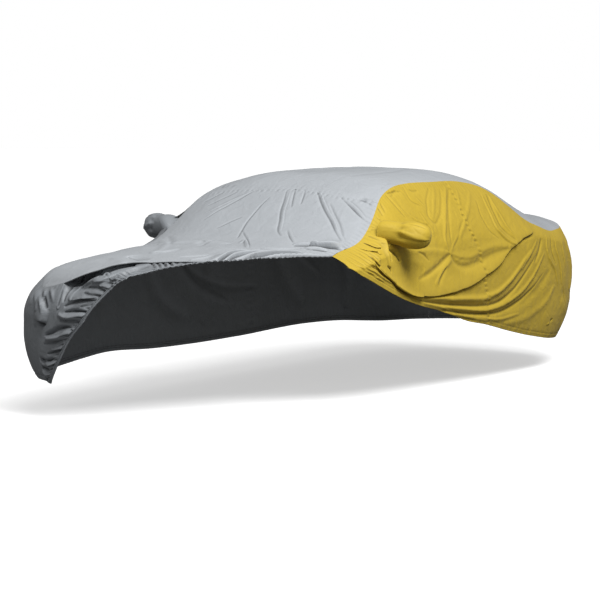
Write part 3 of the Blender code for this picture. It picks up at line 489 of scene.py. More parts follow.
def creases(rows, a, b):
    """Sum of the crease lines of a table at places a, b, and how far the cloth slips aside there.

    Each crease fades out towards its ends, and one with a steep side leans over it."""
    total, slip_a, slip_b = (np.zeros(a.shape) for _ in range(3))
    for rise, left, right, points in rows:
        narrow, broad = min(left, right), max(left, right)
        line, size = smooth_line(points, LINE_STEPS)
        way = np.gradient(line, axis=0)
        way /= np.linalg.norm(way, axis=1, keepdims=True)
        reach = 2.7 * broad
        low, high = line.min(0) - reach, line.max(0) + reach
        near = np.nonzero((a > low[0]) & (a < high[0]) & (b > low[1]) & (b < high[1]))
        place_a, place_b = a[near], b[near]
        if not place_a.size:
            continue
        i = ((place_a[:, None] - line[:, 0])**2 + (place_b[:, None] - line[:, 1])**2).argmin(1)
        off_a, off_b = place_a - line[i, 0], place_b - line[i, 1]
        at = i * size / LINE_STEPS + off_a * way[i, 0] + off_b * way[i, 1]
        aside = way[i, 0] * off_b - way[i, 1] * off_a
        beyond = np.maximum(np.maximum(-at, at - size), 0)
        share = np.clip(at / size, 0, 1)
        fade = (4 * share * (1 - share))**0.6
        width = np.where(aside > 0, left, right) * (0.45 + 0.55 * fade)
        lift = rise * fade**0.7 * np.exp(-(aside**2 + beyond**2) / width**2)
        slip = LEAN * (right - left) / (right + left) * np.maximum(lift, 0)
        if narrow < OVERHANG * broad:
            under = -aside * np.sign(left - right) - narrow - HOLLOW_OFF
            hollow = np.exp(-(under**2 + beyond**2) / HOLLOW_WIDTH**2)
            lift = lift - HOLLOW_DEPTH * rise * fade * hollow
        total[near] += lift
        slip_a[near] -= slip * way[i, 1]
        slip_b[near] += slip * way[i, 0]
    return total, slip_a, slip_b


def uneven(at, pitch, seed):
    """A smooth uneven wave of about this pitch, from -1 to 1."""
    count = 4096
    at = np.asarray(at) / pitch * 2
    heights = np.random.RandomState(seed).uniform(0.35, 1, count)
    heights[1::2] *= -1
    cell = np.floor(at).astype(int)
    t = soft_step(at - cell)
    return heights[cell % count] * (1 - t) + heights[(cell + 1) % count] * t


def swell(a, b, size, seed):
    """Soft uneven swells of about this size in both directions, from -1 to 1."""
    count = 64
    heights = np.random.RandomState(seed).uniform(-1, 1, (count, count))
    a, b = a / size + 7.3, b / size + 11.7
    i, j = np.floor(a).astype(int), np.floor(b).astype(int)
    s, t = soft_step(a - i), soft_step(b - j)

    def pick(m, n):
        return heights[m % count, n % count]

    return ((pick(i, j) * (1 - s) + pick(i + 1, j) * s) * (1 - t)
            + (pick(i, j + 1) * (1 - s) + pick(i + 1, j + 1) * s) * t)


def swells(a, b, *kinds):
    """Swells added up, each kind with its rise, its size and its seed."""
    return sum(rise * swell(a, b, size, seed) for rise, size, seed in kinds)


def scallops(way):
    """The small puffs of a gathered edge between its stitches, from 0 to 1."""
    return np.abs(np.sin(np.pi * (way / PUFF_PITCH + 0.25 * uneven(way, 0.21, 71))))


def channel(above_hem):
    """The flat raised channel along a hem, and the stitched groove at its top."""
    raised = 0.0025 * ramp(CHANNEL + 0.004 - above_hem, 0.008)
    return raised - 0.0015 * fading(above_hem - CHANNEL - 0.005, 0.005)


def hem_gathers(above_hem, way, rise, pitch, seed, reach):
    """Small gathers just above a hem, which its elastic draws up."""
    return rise * uneven(way, pitch, seed) * fading(above_hem - 0.03, reach)


def hem_tuck(above_hem):
    """How far the elastic draws the hem in under the form."""
    return 0.006 * fading(above_hem, 0.03)


def seam_dip(away, along_seam, seed, depth=0.002, reach=0.045, pitch=PUFF_PITCH, pucker=0.0016):
    """Puckers that fade away from a sewn seam, and the dip at the stitches."""
    return (pucker * uneven(along_seam, pitch, seed) * fading(away, reach) * ramp(away, 0.006)
            - depth * fading(away, 0.007))


def header_seam(away, y):
    """The seam between bonnet and roof cloth, the same in both."""
    return seam_dip(away, y, 27, depth=0.0012, reach=0.03, pitch=0.04, pucker=0.003)


# ---------------------------------------------------------------- making the sheets
# A sheet's points by row and column, from the mount, with each point's place on the flat cloth.
Grid = namedtuple("Grid", "points flat")


def hung(points, *flat):
    """A grid from points above the ground and from two columns of places on the flat cloth."""
    return Grid(points - np.array((0, 0, MOUNT_HEIGHT)), np.stack(flat, -1))


def outward(points):
    """Outward directions of a sheet at its points."""
    across, down = np.gradient(points, axis=1), np.gradient(points, axis=0)
    out = np.cross(across, down)
    out /= np.linalg.norm(out, axis=-1, keepdims=True) + TINY
    middle = points.shape[0] // 2, points.shape[1] // 2
    return out * np.sign(np.dot(points[middle] - INSIDE, out[middle]))


def turned_hem(grid, border, drop=0.0):
    """The turned edge beyond a border of the grid: a roll to the inside and a short return."""
    last, inner = {"foot": (np.s_[-1], np.s_[-3]), "near": (np.s_[:, -1], np.s_[:, -3]),
                   "front": (np.s_[0], np.s_[2])}[border]
    line, out = grid.points[last], outward(grid.points)[last]
    away = line - grid.points[inner]
    away /= np.linalg.norm(away, axis=-1, keepdims=True) + TINY
    r = HEM_ROLL
    profile = [(0, 0), (0.6 * r, 0.15 * r), (r, 0.6 * r), (r + drop, r + drop), (0.7 * r, 1.7 * r + drop),
               (-0.2 * r, 2 * r + drop), (-HEM_RETURN, 2.2 * r + drop)]
    points = [line + away * s - out * t for s, t in profile]
    flat = [grid.flat[last] + np.array((0, 0.004 * k)) for k in range(len(profile))]
    return Grid(np.stack(points), np.stack(flat))


def sheet_object(name, grids, cloth, hole):
    """One mesh from its grids, welded where they meet, with the flat cloth as its UV map."""
    bm = bmesh.new()
    flat_layer = bm.loops.layers.uv.new("flat_cloth")
    for grid in grids:
        rows, columns = grid.points.shape[0] - 1, grid.points.shape[1] - 1
        made = bmesh.ops.create_grid(bm, x_segments=rows, y_segments=columns, size=1)
        flat_of = {}
        for vertex in made["verts"]:
            row = round((vertex.co.x + 1) / 2 * rows)
            column = round((vertex.co.y + 1) / 2 * columns)
            vertex.co = grid.points[row, column]
            flat_of[vertex] = grid.flat[row, column]
        for face in {face for vertex in made["verts"] for face in vertex.link_faces}:
            for loop in face.loops:
                loop[flat_layer].uv = flat_of[loop.vert]
    if hole:
        opened = [face for face in bm.faces if hole(face.calc_center_median())]
        bmesh.ops.delete(bm, geom=opened, context="FACES")
    bmesh.ops.remove_doubles(bm, verts=bm.verts, dist=0.00005)
    bm.normal_update()
    inside = Vector(INSIDE)
    if sum((face.calc_center_median() - inside).dot(face.normal) for face in bm.faces) < 0:
        bmesh.ops.reverse_faces(bm, faces=bm.faces)
    mesh = bpy.data.meshes.new(name)
    bm.to_mesh(mesh)
    bm.free()
    mesh.shade_smooth()
    return placed(name, mesh, cloth)


def placed(name, data, material=None):
    """An object of the scene from a mesh, lamp or camera."""
    obj = bpy.data.objects.new(name, data)
    bpy.context.scene.collection.objects.link(obj)
    if material:
        data.materials.append(material)
    return obj


def girth_steps(*stops):
    """Girths along a top seam, from pairs of a stop and the cells up to the next one."""
    runs = [np.linspace(a, b, cells + 1)[:-1] for (a, cells), (b, _) in zip(stops, stops[1:])]
    return np.concatenate(runs + [[stops[-1][0]]])


def upright(top, foot):
    """Shares of the way down an upright cloth, its heights, and how far below its top seam and
    above its hem they lie."""
    t = shares(SIDE_ROWS)[:, None]
    height = top + (foot - top) * t
    return t, height, top - height, height - foot


def hem_height(hem, girth):
    return flow(girth, hem["girth"], hem["height"])


def tent(girth, height, place):
    """How far a pocket pulls the side out round its root."""
    rise, along_reach, up_reach = 0.060, 0.085, 0.075
    return rise * np.exp(-((girth - place[0]) / along_reach)**2 - ((height - place[1]) / up_reach)**2)


def near_side(girths, end_fade, seams):
    """A near side cloth from its top seam to its hem, with the fold that sweeps along it."""
    t, height, below_seam, above_hem = upright(edge(girths)[:, 2], hem_height(NEAR_HEM, girths))
    to_nose, over = 0.03, 0.3       # the front edge runs a little towards the nose on its way down
    girth = girths - to_nose * t * np.clip(1 - (girths - HEM_END) / over, 0, 1)
    bend = flow(height, SEAM_LINE["height"], SEAM_LINE["girth"]) - UPRIGHT_SEAM
    girth = girth + bend * soft_step(1 - np.abs(girths - UPRIGHT_SEAM) / 0.9) * ramp(t, 0.04)
    relief, slip_girth, slip_height = creases(NEAR_CREASES, girth, height)
    ends = end_fade(girths)
    free = ramp(below_seam, 0.018) * ends
    hold = free * ramp(above_hem, 0.03)
    relief = relief * free
    soft = swells(girth, height, (0.004, 0.33, 3), (0.0025, 0.12, 8))
    relief += (soft + 0.0010 * swell(girth, height * 1.3, 0.05, 4)) * ramp(below_seam, 0.06) * ends
    relief += channel(above_hem) * NEAR_CHANNEL + hem_gathers(above_hem, girth, 0.0013, 0.09, 5, 0.035)
    relief += seam_dip(below_seam, girth, 6)
    for seam in seams:
        relief += seam_dip(np.abs(girths - seam) + 0 * t, height, 7,
                           depth=0.003, reach=0.022, pitch=0.035, pucker=0.005)
    relief -= hem_tuck(above_hem)
    sag = 0.5 * np.maximum(relief, 0) * hold * ramp(above_hem - 0.05, 0.05)
    relief += tent(girth, height, NEAR_POCKET_PLACE) * ramp(below_seam, 0.07)
    points = side(girth + slip_girth * hold, height + slip_height * hold - sag, relief + CLOTH_LIFT)
    return hung(points, girth, height)


def corner_seam_girth(height):
    """Girth of the seam between the nose cloth and the far side, near side positive."""
    return -flow(-height, -CORNER_SEAM["height"], CORNER_SEAM["y"])


def far_side(girths, front, end_fade, seams):
    """A far side cloth from its top seam to its hem, the front one cut to the nose seam."""
    _, height, below_seam, above_hem = upright(edge(-girths)[:, 2], hem_height(FAR_HEM, girths))
    girth = girths + 0 * height
    if front:
        near_nose = np.clip(1 - (girths - NOSE_CORNER) / 0.8, 0, 1)**2
        girth = girths + (corner_seam_girth(height) - NOSE_CORNER) * near_nose
    ends = end_fade(girths)
    relief = creases(FAR_CREASES, girth, height)[0] * ramp(below_seam, 0.03) * ends
    relief += swells(girth, height, (0.005, 0.35, 13), (0.0012, 0.08, 14)) * ramp(below_seam, 0.06) * ends
    relief += channel(above_hem) + hem_gathers(above_hem, girth, 0.0022, 0.045, 15, 0.05)
    relief += seam_dip(below_seam, girth, 16)
    for seam in seams:
        relief += seam_dip(np.abs(girth - seam), height, 17,
                           depth=0.0022, reach=0.03, pitch=0.05, pucker=0.003)
    relief -= hem_tuck(above_hem)
    relief += tent(girth, height, FAR_POCKET_PLACE)
    return hung(side(-girth, height, relief + CLOTH_LIFT), girth, height)


def header_line(count):
    """The seam over the head of the screen, in plan, from the far side to the near one."""
    end = edge(np.array(HEADER))
    share = np.linspace(-1, 1, count + 1)
    forward = flow(share, HEADER_BOW["across"], HEADER_BOW["forward"])
    return np.stack([end[0] + forward, end[1] * share], -1)


def bonnet_grid(hem_cells, pillar_cells, across):
    """The bonnet and screen cloth, with its free gathered hem ahead of the near pillar."""
    far = edge(-girth_steps((NOSE_CORNER, hem_cells + pillar_cells), (HEADER, 0)))[:, :2]
    seam = edge(girth_steps((HEM_END, pillar_cells), (HEADER, 0)))[:, :2]
    hem = along(BONNET_HEM, "x", "y", hem_cells)
    fade = np.clip(np.arange(-hem_cells, 1) / (hem_cells / 5) + 1, 0, 1)[:, None]
    hem = hem + fade * (seam[0] - hem[-1])
    way = lengths(hem)
    hem[:, 1] -= NOTCH * (1 - scallops(way)) * ramp(way, 0.05) * ramp(PUFFS_END - way, 0.3)
    near = np.concatenate([hem, seam[1:]])
    front = along(LIP, "x", "y", across)
    fade = np.clip(1 - np.arange(across + 1) / (across * 3 / 16), 0, 1)[:, None]
    front = front + fade * (edge(np.array(-NOSE_CORNER))[:2] - front[0])
    plan = patch(front, header_line(across), far, near)
    x, y = plan[..., 0], plan[..., 1]
    u, v = shares(hem_cells + pillar_cells)[:, None], shares(across)[None, :]
    free_hem = soft_step((hem_cells / (hem_cells + pillar_cells) - u) / 0.08 + 1)
    fade = ramp(v, 0.06) * np.maximum(ramp(1 - v, 0.05), free_hem)
    from_lip, from_header = apart(plan, plan[:1]), apart(plan, plan[-1:])
    from_far, from_hem = apart(plan, plan[:, :1]), apart(plan, plan[:, -1:])
    hem_way = lengths(near)[:, None]
    relief, slip_x, slip_y = (part * fade for part in creases(TOP_CREASES, x, y))
    loose = ramp(from_hem - 0.005, 0.045)
    relief, slip_x, slip_y = relief * (1 - free_hem * (1 - loose)), slip_x * loose, slip_y * loose
    relief += swells(x, y, (0.005, 0.30, 23), (0.0020, 0.11, 24)) * fade * ramp(from_header, 0.10)
    puffs = 0.006 * scallops(hem_way) * fading(from_hem, 0.012) * ramp(PUFFS_END - hem_way, 0.3)
    ruffle = 0.0016 * uneven(hem_way, 0.045, 26) * fading(from_hem, 0.055)
    relief += (puffs + ruffle) * free_hem
    relief += header_seam(from_header, y)
    relief += seam_dip(from_far, x, 28) + seam_dip(from_hem, x, 29) * (1 - free_hem)
    opened = LIP_RISE * np.sin(np.pi * np.clip(v / 0.6, 0, 1))**0.7 * fading(from_lip, LIP_REACH)
    z = top_height(x, y) + relief + opened + CLOTH_LIFT
    return hung(np.stack([x + slip_x, y + slip_y, z], -1), x, y)


def tail_girths(count):
    """Girths across the tail from its far seam to its near one."""
    share = np.linspace(-1, 1, count + 1)
    girth = TAIL_MIDDLE - np.abs(share) * (TAIL_MIDDLE - TAIL_SEAM)
    return np.where(share < 0, -girth, girth)


def roof_grid(door_cells, rear_cells, across):
    """The roof cloth, down the rear slope and over the deck to the tail."""
    girths = girth_steps((HEADER, door_cells), (UPRIGHT_SEAM, rear_cells), (TAIL_SEAM, 0))
    far, near = edge(-girths)[:, :2], edge(girths)[:, :2]
    plan = patch(header_line(across), edge(tail_girths(across))[:, :2], far, near)
    x, y = plan[..., 0], plan[..., 1]
    u, v = shares(door_cells + rear_cells)[:, None], shares(across)[None, :]
    fade = ramp(v, 0.08) * ramp(1 - v, 0.08)
    fade = fade * ramp(1 - u, 0.05)
    from_header = apart(plan, plan[:1])
    relief = creases(TOP_CREASES, x, y)[0] * fade
    relief += swells(x, y, (0.006, 0.34, 33), (0.0020, 0.11, 34)) * fade * ramp(from_header, 0.10)
    relief += header_seam(from_header, y)
    for border in (plan[:, :1], plan[:, -1:]):
        relief += seam_dip(apart(plan, border), x, 36)
    return hung(np.stack([x, y, top_height(x, y) + relief + CLOTH_LIFT], -1), x, y)


def tail_grid(across):
    """The tail cloth, smooth at its side seams so that they close."""
    girths = tail_girths(across)
    share = shares(across)
    far_foot, near_foot = (hem_height(hem, np.array(TAIL_SEAM)) for hem in (FAR_HEM, NEAR_HEM))
    foot = far_foot * (1 - share) + near_foot * share + TAIL_HEM_RISE * np.sin(np.pi * share)
    t, height, below_seam, above_hem = upright(edge(girths)[:, 2], foot)
    from_side, run = np.minimum(share, 1 - share), share * 1.7     # run sets the waves' pitch
    inner = ramp(from_side, 0.03)
    relief = 0.012 * np.sin(np.pi * share)**2 * np.cos(5 * np.pi * share) * ramp(t, 0.4)
    relief = relief + 0.004 * swell(run, height, 0.3, 43) * np.sin(np.pi * share) * ramp(t, 0.1)
    relief += channel(above_hem) + hem_gathers(above_hem, run, 0.002, 0.045, 44, 0.05)
    relief += seam_dip(below_seam, run, 45)
    relief *= inner
    relief += channel(above_hem) * (1 - inner) * np.where(share < 0.5, 1.0, NEAR_CHANNEL)
    relief -= 0.003 * fading(from_side, 0.008)
    relief -= hem_tuck(above_hem)
    from_middle = (2 * share - 1) * (TAIL_MIDDLE - TAIL_SEAM)
    return hung(side(girths + 0 * height, height, relief + CLOTH_LIFT), from_middle + 0 * height, height)


def nose_grid(across, rows):
    """The nose cloth, with a flap that runs back under the bonnet's lip and closes the fold."""
    top = along(NOSE_TOP, "y", "up", across)
    back = flow(top[:, 0], NOSE_TOP["y"], NOSE_TOP["back"])
    corner = edge(np.array(-NOSE_CORNER))[2]
    foot = hem_height(FAR_HEM, np.array(NOSE_CORNER))
    seam_height = corner + (foot - corner) * shares(rows)
    seam_y = -corner_seam_girth(seam_height)
    seam = np.stack([seam_y, seam_height - edge(seam_y)[:, 2]], -1)
    hem = along(NOSE_HEM, "y", "up", rows)[::-1]
    fade = np.clip(1 - np.arange(rows + 1) / (rows / 4), 0, 1)[:, None]
    hem = hem + fade * (top[-1] - hem[0])
    on_top = ramp(hem[:, 1:] + 0.10, 0.08)
    way = lengths(hem)
    hem[:, 0] -= NOTCH * (1 - scallops(way)) * on_top[:, 0] * ramp(way, 0.05)
    s = shares(across)[:, None]
    cloth = patch(top, seam[-1] + (hem[-1] - seam[-1]) * s, seam, hem)
    y, up = cloth[..., 0], cloth[..., 1]
    s, t = s.T, shares(rows)[:, None]
    from_hem, from_foot = apart(cloth, cloth[:, -1:]), apart(cloth, cloth[-1:])
    hem_way = lengths(hem)[:, None]
    beside = ramp(from_hem - CHANNEL, 0.012)
    relief, slip_y, slip_up = (part * ramp(s, 0.06) * beside for part in creases(NOSE_CREASES, y, up))
    relief = np.where(relief > 0, relief * ramp(t, 0.03), relief)
    gather = 0.0055 * uneven(hem_way + 0.25 * from_hem, 0.034, 53) + 0.003 * uneven(hem_way, 0.021, 54)
    relief += gather * fading(from_hem, 0.085) * beside * ramp(s, 0.1)
    relief += swells(y, up, (0.004, 0.11, 55), (0.002, 0.045, 56)) * ramp(s, 0.1) * ramp(t, 0.08) * beside
    relief += 0.006 * (1 - beside) * soft_step(from_hem / 0.004 + 0.3)
    relief += (0.004 + 0.006 * scallops(hem_way)) * fading(from_hem, 0.016) * on_top
    relief += 0.002 * uneven(y, 0.04, 57) * fading(from_foot, 0.05)
    hold = ramp(t, 0.05) * ramp(1 - t, 0.05)
    sag = 0.8 * np.maximum(relief, 0) * beside
    sheet = nose_point(y + slip_y * hold, up + (slip_up - sag) * hold,
                       relief + CLOTH_LIFT - back * (1 - ramp(t, 0.12)))
    flap, border = [], sheet[0]
    reaches = np.linspace(0.15, 0.01, 14)       # how far behind the top edge each row lies
    for reach in reaches:
        x = border[:, 0] - reach
        roof = top_height(x, border[:, 1]) - 0.004      # just under the bonnet cloth
        low = border[:, 2] + 0.25 * reach * ramp(reach, 0.05)
        join = ramp(reach - 0.09, 0.06)
        flap.append(np.stack([x, border[:, 1], np.minimum(low * (1 - join) + roof * join, roof)], -1))
    flat = np.concatenate([np.stack([cloth[0] + (0, reach) for reach in reaches]), cloth])
    return hung(np.concatenate([np.stack(flap), sheet]), flat[..., 0], flat[..., 1])


# ---------------------------------------------------------------- mirror pockets
def pocket_axes(root, tip):
    """A pocket's root, the way from it to the tip, and its directions across and up."""
    root, tip = np.array(root), np.array(tip)
    axis = (tip - root) / np.linalg.norm(tip - root)
    wide = np.cross((0, 0, 1), axis)
    wide /= np.linalg.norm(wide)
    return root, tip - root, wide, np.cross(axis, wide)


def pocket_grid(ends, rings, sides, seed, hand, inward):
    """An oval bag from its root ring to its tip, with its sewn edge and its slack folds."""
    root, reach, wide, high = pocket_axes(*ends)
    t, around = shares(rings)[:, None], np.linspace(0, 2 * np.pi, sides + 1)[None, :]
    knots = np.arange(len(POCKET["along"])) / (len(POCKET["along"]) - 1)
    far, half_wide, half_high = (flow(t, knots, POCKET[key]) for key in ("along", "wide", "high"))
    far = np.where(far < 0, far * inward, far)
    cosine, sine = (np.sign(w) * np.abs(w)**0.82 for w in (np.cos(around), np.sin(around)))
    swollen = 1 + pocket_folds(t, around, hand) + 0.02 * swell(t * 0.3, np.sin(around) * 0.1, 0.06, seed)
    points = (root + reach * (far + 0 * around)[..., None]
              + wide * (half_wide * POCKET_HALF[0] * cosine * swollen)[..., None]
              + high * (half_high * POCKET_HALF[1] * sine * swollen)[..., None])
    points[..., 2] -= 0.13 * np.clip(-far / 0.7, 0, 1)**2      # the root dips under the top cloth
    return hung(points, far * np.linalg.norm(reach) + 0 * around, around * POCKET_RADIUS + 0 * t)


def pocket_folds(t, around, hand):
    """The sewn edge that runs down the front of a pocket, the flat below it and its slack creases."""
    front = np.pi if hand > 0 else np.where(around > np.pi, 2 * np.pi, 0)
    off = (around - front) * hand
    ridge = off - (0.75 * t - 0.42)
    shape = 0.12 * fading(ridge, 0.13) - 0.045 * fading(ridge - 0.55, 0.36)
    shape += 0.035 * fading(ridge + 0.50 - 0.5 * t, 0.10) * ramp(t - 0.5, 0.2)
    shape -= 0.05 * np.exp(-((off + 0.9) / 0.10)**2 - ((t - 0.62) / 0.22)**2)
    shape += 0.04 * np.sin(9 * around) * fading(t - 0.40, 0.10)
    return shape * ramp(t - 0.28, 0.12) * ramp(1 - t, 0.06)


def pocket_hole(ends):
    """Says whether a place lies inside the oval through which a pocket opens."""
    root, reach, wide, high = (Vector(part) for part in pocket_axes(*ends))
    root.z -= MOUNT_HEIGHT
    way = reach.normalized()
    half_wide, half_high = POCKET_HALF

    def inside(place):
        off = place - root
        return (-0.035 < off.dot(way) < 0.13
                and (off.dot(wide) / half_wide)**2 + (off.dot(high) / half_high)**2 < 0.22)

    return inside


# ---------------------------------------------------------------- materials
SHARE, COLOUR_A, COLOUR_B, MIXED = 0, 6, 7, 2      # a colour mix's inputs and its output


def linear(code):
    """A colour of the screen, such as #B8BCC0, as linear numbers."""
    parts = [int(code[i:i + 2], 16) / 255 for i in (1, 3, 5)]
    return (*(c / 12.92 if c <= 0.04045 else ((c + 0.055) / 1.055)**2.4 for c in parts), 1)


def add_node(tree, kind, settings=(), links=()):
    """A node with its settings, and with its sockets linked from other nodes' outputs."""
    node = tree.nodes.new("ShaderNode" + kind)
    for name, value in dict(settings).items():
        if isinstance(name, str) and hasattr(node, name):
            setattr(node, name, value)
        else:
            node.inputs[name].default_value = value
    for socket, (source, output) in dict(links).items():
        tree.links.new(source.outputs[output], node.inputs[socket])
    return node


def woven_polyester(name, body, worn, shade, roughness):
    """Woven polyester, calendered on its outer face: a matt cloth with a faint sheen at grazing
    angles. Its threads lie 0.35 mm apart, too fine to show here, so the weave is drawn at 4.8 mm.
    Handling leaves fine crinkles, and the dye is a little uneven from place to place."""
    cloth = bpy.data.materials.new(name)
    cloth.use_nodes = True
    tree = cloth.node_tree
    tree.nodes.clear()
    on_flat = {"Vector": (add_node(tree, "UVMap", {"uv_map": "flat_cloth"}), "UV")}

    patches = add_node(tree, "TexNoise", {"Scale": 3.2, "Detail": 4.0, "Roughness": 0.6}, on_flat)
    dye = add_node(tree, "MapRange", {"From Min": 0.35, "From Max": 0.75, "To Max": 0.55},
                   {"Value": (patches, "Fac")})
    dyed = add_node(tree, "Mix", {"data_type": "RGBA", COLOUR_A: linear(body), COLOUR_B: linear(shade)},
                    {SHARE: (dye, "Result")})

    # threads: a plain weave of crossed waves, whose crests are a little paler
    wave = {"Scale": 66.0, "Distortion": 0.6, "Detail": 1.0}
    warp, weft = (add_node(tree, "TexWave", {"bands_direction": way, **wave}, on_flat) for way in "XY")
    weave = add_node(tree, "Math", {"operation": "MULTIPLY"}, {0: (warp, "Fac"), 1: (weft, "Fac")})
    thin = add_node(tree, "Math", {"operation": "MULTIPLY", 1: 0.35}, {0: (weave, "Value")})
    woven = add_node(tree, "Mix", {"data_type": "RGBA", COLOUR_B: linear(worn)},
                     {SHARE: (thin, "Value"), COLOUR_A: (dyed, MIXED)})

    # hollows are drawn darker than the light alone makes them on this mesh
    form = add_node(tree, "NewGeometry")
    hollow = add_node(tree, "MapRange", {"From Min": 0.455, "From Max": 0.502, "To Min": 0.36, "To Max": 1.0},
                      {"Value": (form, "Pointiness")})
    shaded = add_node(tree, "Mix", {"data_type": "RGBA", "blend_type": "MULTIPLY", SHARE: 1.0},
                      {COLOUR_A: (woven, MIXED), COLOUR_B: (hollow, "Result")})

    crinkle = add_node(tree, "TexNoise", {"Scale": 38.0, "Detail": 5.0, "Roughness": 0.62, "Distortion": 0.8},
                       on_flat)
    soft = add_node(tree, "TexNoise", {"Scale": 11.0, "Detail": 2.0, "Distortion": 1.2}, on_flat)
    bump = {}      # each bump stands on the one before
    for strength, distance, source, output in ((0.65, 0.009, soft, "Fac"), (0.55, 0.002, crinkle, "Fac"),
                                               (0.25, 0.0004, weave, "Value")):
        bumped = add_node(tree, "Bump", {"Strength": strength, "Distance": distance},
                          {"Height": (source, output), **bump})
        bump = {"Normal": (bumped, "Normal")}
    matt = add_node(tree, "MapRange", {
        "From Min": 0.3, "From Max": 0.7, "To Min": roughness - 0.05, "To Max": roughness + 0.08},
        {"Value": (crinkle, "Fac")})
    surface = {"IOR": 1.5, "Metallic": 0.0, "Specular IOR Level": 0.30, "Sheen Weight": 0.06,
               "Sheen Roughness": 0.45}
    shader = add_node(tree, "BsdfPrincipled", surface,
                      {"Base Color": (shaded, MIXED), "Roughness": (matt, "Result"), **bump})
    add_node(tree, "OutputMaterial", {}, {"Surface": (shader, "BSDF")})
    return cloth


# ---------------------------------------------------------------- the cover
CLOTHS = {
    "grey_top_cloth": woven_polyester("grey_woven_polyester_top", "#A3A7AB", "#ADB1B5", "#999DA1", 0.62),
    # painted shade: the side grey is a darker copy of the top's grey cloth, standing in for the shade on the
    # nose, far sides, tail and far pocket
    "grey_side_cloth": woven_polyester("grey_woven_polyester_side_painted_shade", "#82868A", "#8C9094", "#787C80", 0.46),
    "yellow_side_cloth": woven_polyester("yellow_woven_polyester", "#BA9F32", "#C2A73E", "#B19626", 0.62),
}


def cut_area(obj):
    """The area of a piece's flat cut, from its places on the flat cloth, in square metres."""
    loops, faces = obj.data.loops, obj.data.polygons
    flat = np.zeros(len(loops) * 2)
    obj.data.uv_layers["flat_cloth"].data.foreach_get("uv", flat)
    first = np.zeros(len(faces), dtype=int)
    faces.foreach_get("loop_start", first)
    following = np.arange(1, len(loops) + 1)
    following[np.append(first[1:], len(loops)) - 1] = first
    here = flat.reshape(-1, 2)
    there = here[following]
    turns = here[:, 0] * there[:, 1] - here[:, 1] * there[:, 0]
    return float(np.abs(np.add.reduceat(turns, first)).sum() / 2)


def sew(node, name, slot, grids, hole=None):
    """Make a sheet of its slot's cloth, fasten it in its solid's place and hide the solid."""
    obj = sheet_object(name, grids, CLOTHS[slot], hole)
    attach(obj, "root")
    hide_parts(node)
    cut_area(obj)


def sew_cover():
    """All the panels and pockets, each over the solid whose node it takes."""
    def nose_end(girth):
        return ramp(girth - NOSE_CORNER, 0.06)

    def hem_end(girth):
        return soft_step((girth - HEM_END) / 0.08 + 0.2)

    def tail_end(girth):
        return ramp(TAIL_SEAM - girth, 0.25)

    hem_cells = 240
    bonnet = bonnet_grid(hem_cells, 76, 290)
    gathered = Grid(bonnet.points[:hem_cells + 1], bonnet.flat[:hem_cells + 1])
    sew("bonnet_panel", "bonnet_cloth", "grey_top_cloth",
        [bonnet, turned_hem(gathered, "near", 0.002), turned_hem(bonnet, "front")])
    sew("roof_panel", "roof_cloth", "grey_top_cloth", [roof_grid(70, 130, 110)])
    nose = nose_grid(170, 260)
    sew("nose_panel", "nose_cloth", "grey_side_cloth",
        [nose, turned_hem(nose, "near"), turned_hem(nose, "foot")])

    front, rear = (UPRIGHT_SEAM,), (UPRIGHT_SEAM, TAIL_SEAM)
    rear_end = (TAIL_SEAM, 0)
    near_front = near_side(girth_steps((HEM_END, 160), (HEADER, 230), (UPRIGHT_SEAM, 0)), hem_end, front)
    near_rear = near_side(girth_steps((UPRIGHT_SEAM, 330), rear_end), tail_end, rear)
    far_front = far_side(girth_steps((NOSE_CORNER, 90), (0.95, 110), (HEADER, 60), (UPRIGHT_SEAM, 0)), True,
                         nose_end, front)
    far_rear = far_side(girth_steps((UPRIGHT_SEAM, 150), rear_end), False, tail_end, rear)
    for node, name, slot, flat, grid, pocket in (
            ("near_front_side", "near_front_cloth", "yellow_side_cloth", (1.8, 1.05), near_front, NEAR_POCKET),
            ("near_rear_side", "near_rear_cloth", "yellow_side_cloth", (2.3, 1.2), near_rear, None),
            ("far_front_side", "far_front_cloth", "grey_side_cloth", (3.4, 1.1), far_front, FAR_POCKET),
            ("far_rear_side", "far_rear_cloth", "grey_side_cloth", (2.3, 1.2), far_rear, None),
            ("tail_panel", "tail_cloth", "grey_side_cloth", (1.15, 0.9), tail_grid(110), None)):
        sew(node, name, slot, [grid, turned_hem(grid, "foot")], hole=pocket and pocket_hole(pocket))
    for node, name, slot, ends, seed, hand, inward in (
            ("near_mirror_pocket", "near_pocket_cloth", "yellow_side_cloth", NEAR_POCKET, 61, 1, 1.0),
            ("far_mirror_pocket", "far_pocket_cloth", "grey_side_cloth", FAR_POCKET, 62, -1, 4.5)):
        sew(node, name, slot, [pocket_grid(ends, 70, 110, seed, hand, inward)])


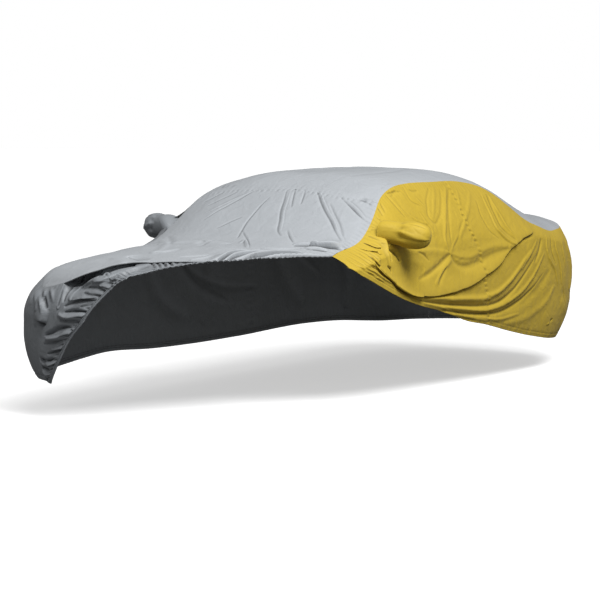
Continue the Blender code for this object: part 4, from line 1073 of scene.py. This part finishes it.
# ---------------------------------------------------------------- floor, light and camera
def studio():
    """A pale, faintly glowing floor under a wide soft light, a large soft box over the front, and a
    sky that is brighter above, ahead and on the near side."""
    painted = bpy.data.materials.new("pale_painted_floor")
    painted.use_nodes = True
    paint = painted.node_tree.nodes["Principled BSDF"].inputs
    paint["Base Color"].default_value = linear("#F4F4F4")
    paint["Roughness"].default_value = 0.7
    paint["Emission Color"].default_value = (1, 1, 1, 1)
    paint["Emission Strength"].default_value = 0.52
    bm = bmesh.new()
    bmesh.ops.create_grid(bm, x_segments=1, y_segments=1, size=400)
    for vertex in bm.verts:
        vertex.co.z = -MOUNT_HEIGHT
    mesh = bpy.data.meshes.new("floor")
    bm.to_mesh(mesh)
    bm.free()
    floor = placed("floor", mesh, painted)
    floor.visible_diffuse = floor.visible_glossy = False     # it throws no light back into the folds

    world = bpy.data.worlds.new("studio")
    bpy.context.scene.world = world
    world.use_nodes = True
    tree = world.node_tree
    tree.nodes.clear()
    parts = add_node(tree, "SeparateXYZ", {}, {"Vector": (add_node(tree, "TexCoord"), "Generated")})

    def rising(axis, low, high):
        return add_node(tree, "MapRange", {"From Min": -1.0, "To Min": low, "To Max": high},
                        {"Value": (parts, axis)}), "Result"

    def product(first, second):
        return add_node(tree, "Math", {"operation": "MULTIPLY"}, {0: first, 1: second}), "Value"

    level = product(rising("Z", 0.06, 0.38), product(rising("X", 0.30, 1.15), rising("Y", 0.85, 1.75)))
    sky = add_node(tree, "Background", {"Color": (1, 1, 1, 1)}, {"Strength": level})
    white = add_node(tree, "Background", {"Color": (1, 1, 1, 1), "Strength": 1.0})
    seen = add_node(tree, "MixShader", {}, {0: (add_node(tree, "LightPath"), "Is Camera Ray"),
                                            1: (sky, "Background"), 2: (white, "Background")})
    add_node(tree, "OutputWorld", {}, {"Surface": (seen, "Shader")})

    sun = bpy.data.lights.new("overhead", "SUN")
    sun.energy, sun.angle = 1.30, 0.6
    box = bpy.data.lights.new("soft_box", "AREA")
    box.shape, box.size, box.size_y, box.energy = "RECTANGLE", 4.0, 3.0, 500
    for light, place, aim in ((sun, (0, 0, 0), (-0.24, -0.46, -0.86)),
                              (box, (3.6, 4.6, 5.0), (-2.8, -4.6, -5.2))):
        lamp = placed(light.name, light)
        lamp.location = place
        lamp.rotation_euler = Vector(aim).to_track_quat("-Z", "Y").to_euler()


def take_view():
    """The camera of the photograph, solved from the form of the cover."""
    place = Vector((12.3508, 7.0557, 0.2503))
    yaw, pitch, roll = -2.59929, -0.08244, 0.00377
    ahead = Vector((np.cos(pitch) * np.cos(yaw), np.cos(pitch) * np.sin(yaw), np.sin(pitch)))
    level_right = ahead.cross(Vector((0, 0, 1))).normalized()
    level_up = level_right.cross(ahead)
    right = level_right * np.cos(roll) + level_up * np.sin(roll)
    up = level_up * np.cos(roll) - level_right * np.sin(roll)
    camera = bpy.data.cameras.new("camera")
    camera.lens, camera.sensor_width = 121.943, 36.0
    camera.clip_end = 200
    obj = placed("camera", camera)
    obj.matrix_world = Matrix([*zip(right, up, -ahead, place), (0, 0, 0, 1)])
    bpy.context.scene.camera = obj


sew_cover()
studio()
take_view()
bpy.context.scene.view_settings.view_transform = "Standard"
bpy.context.view_layer.update()
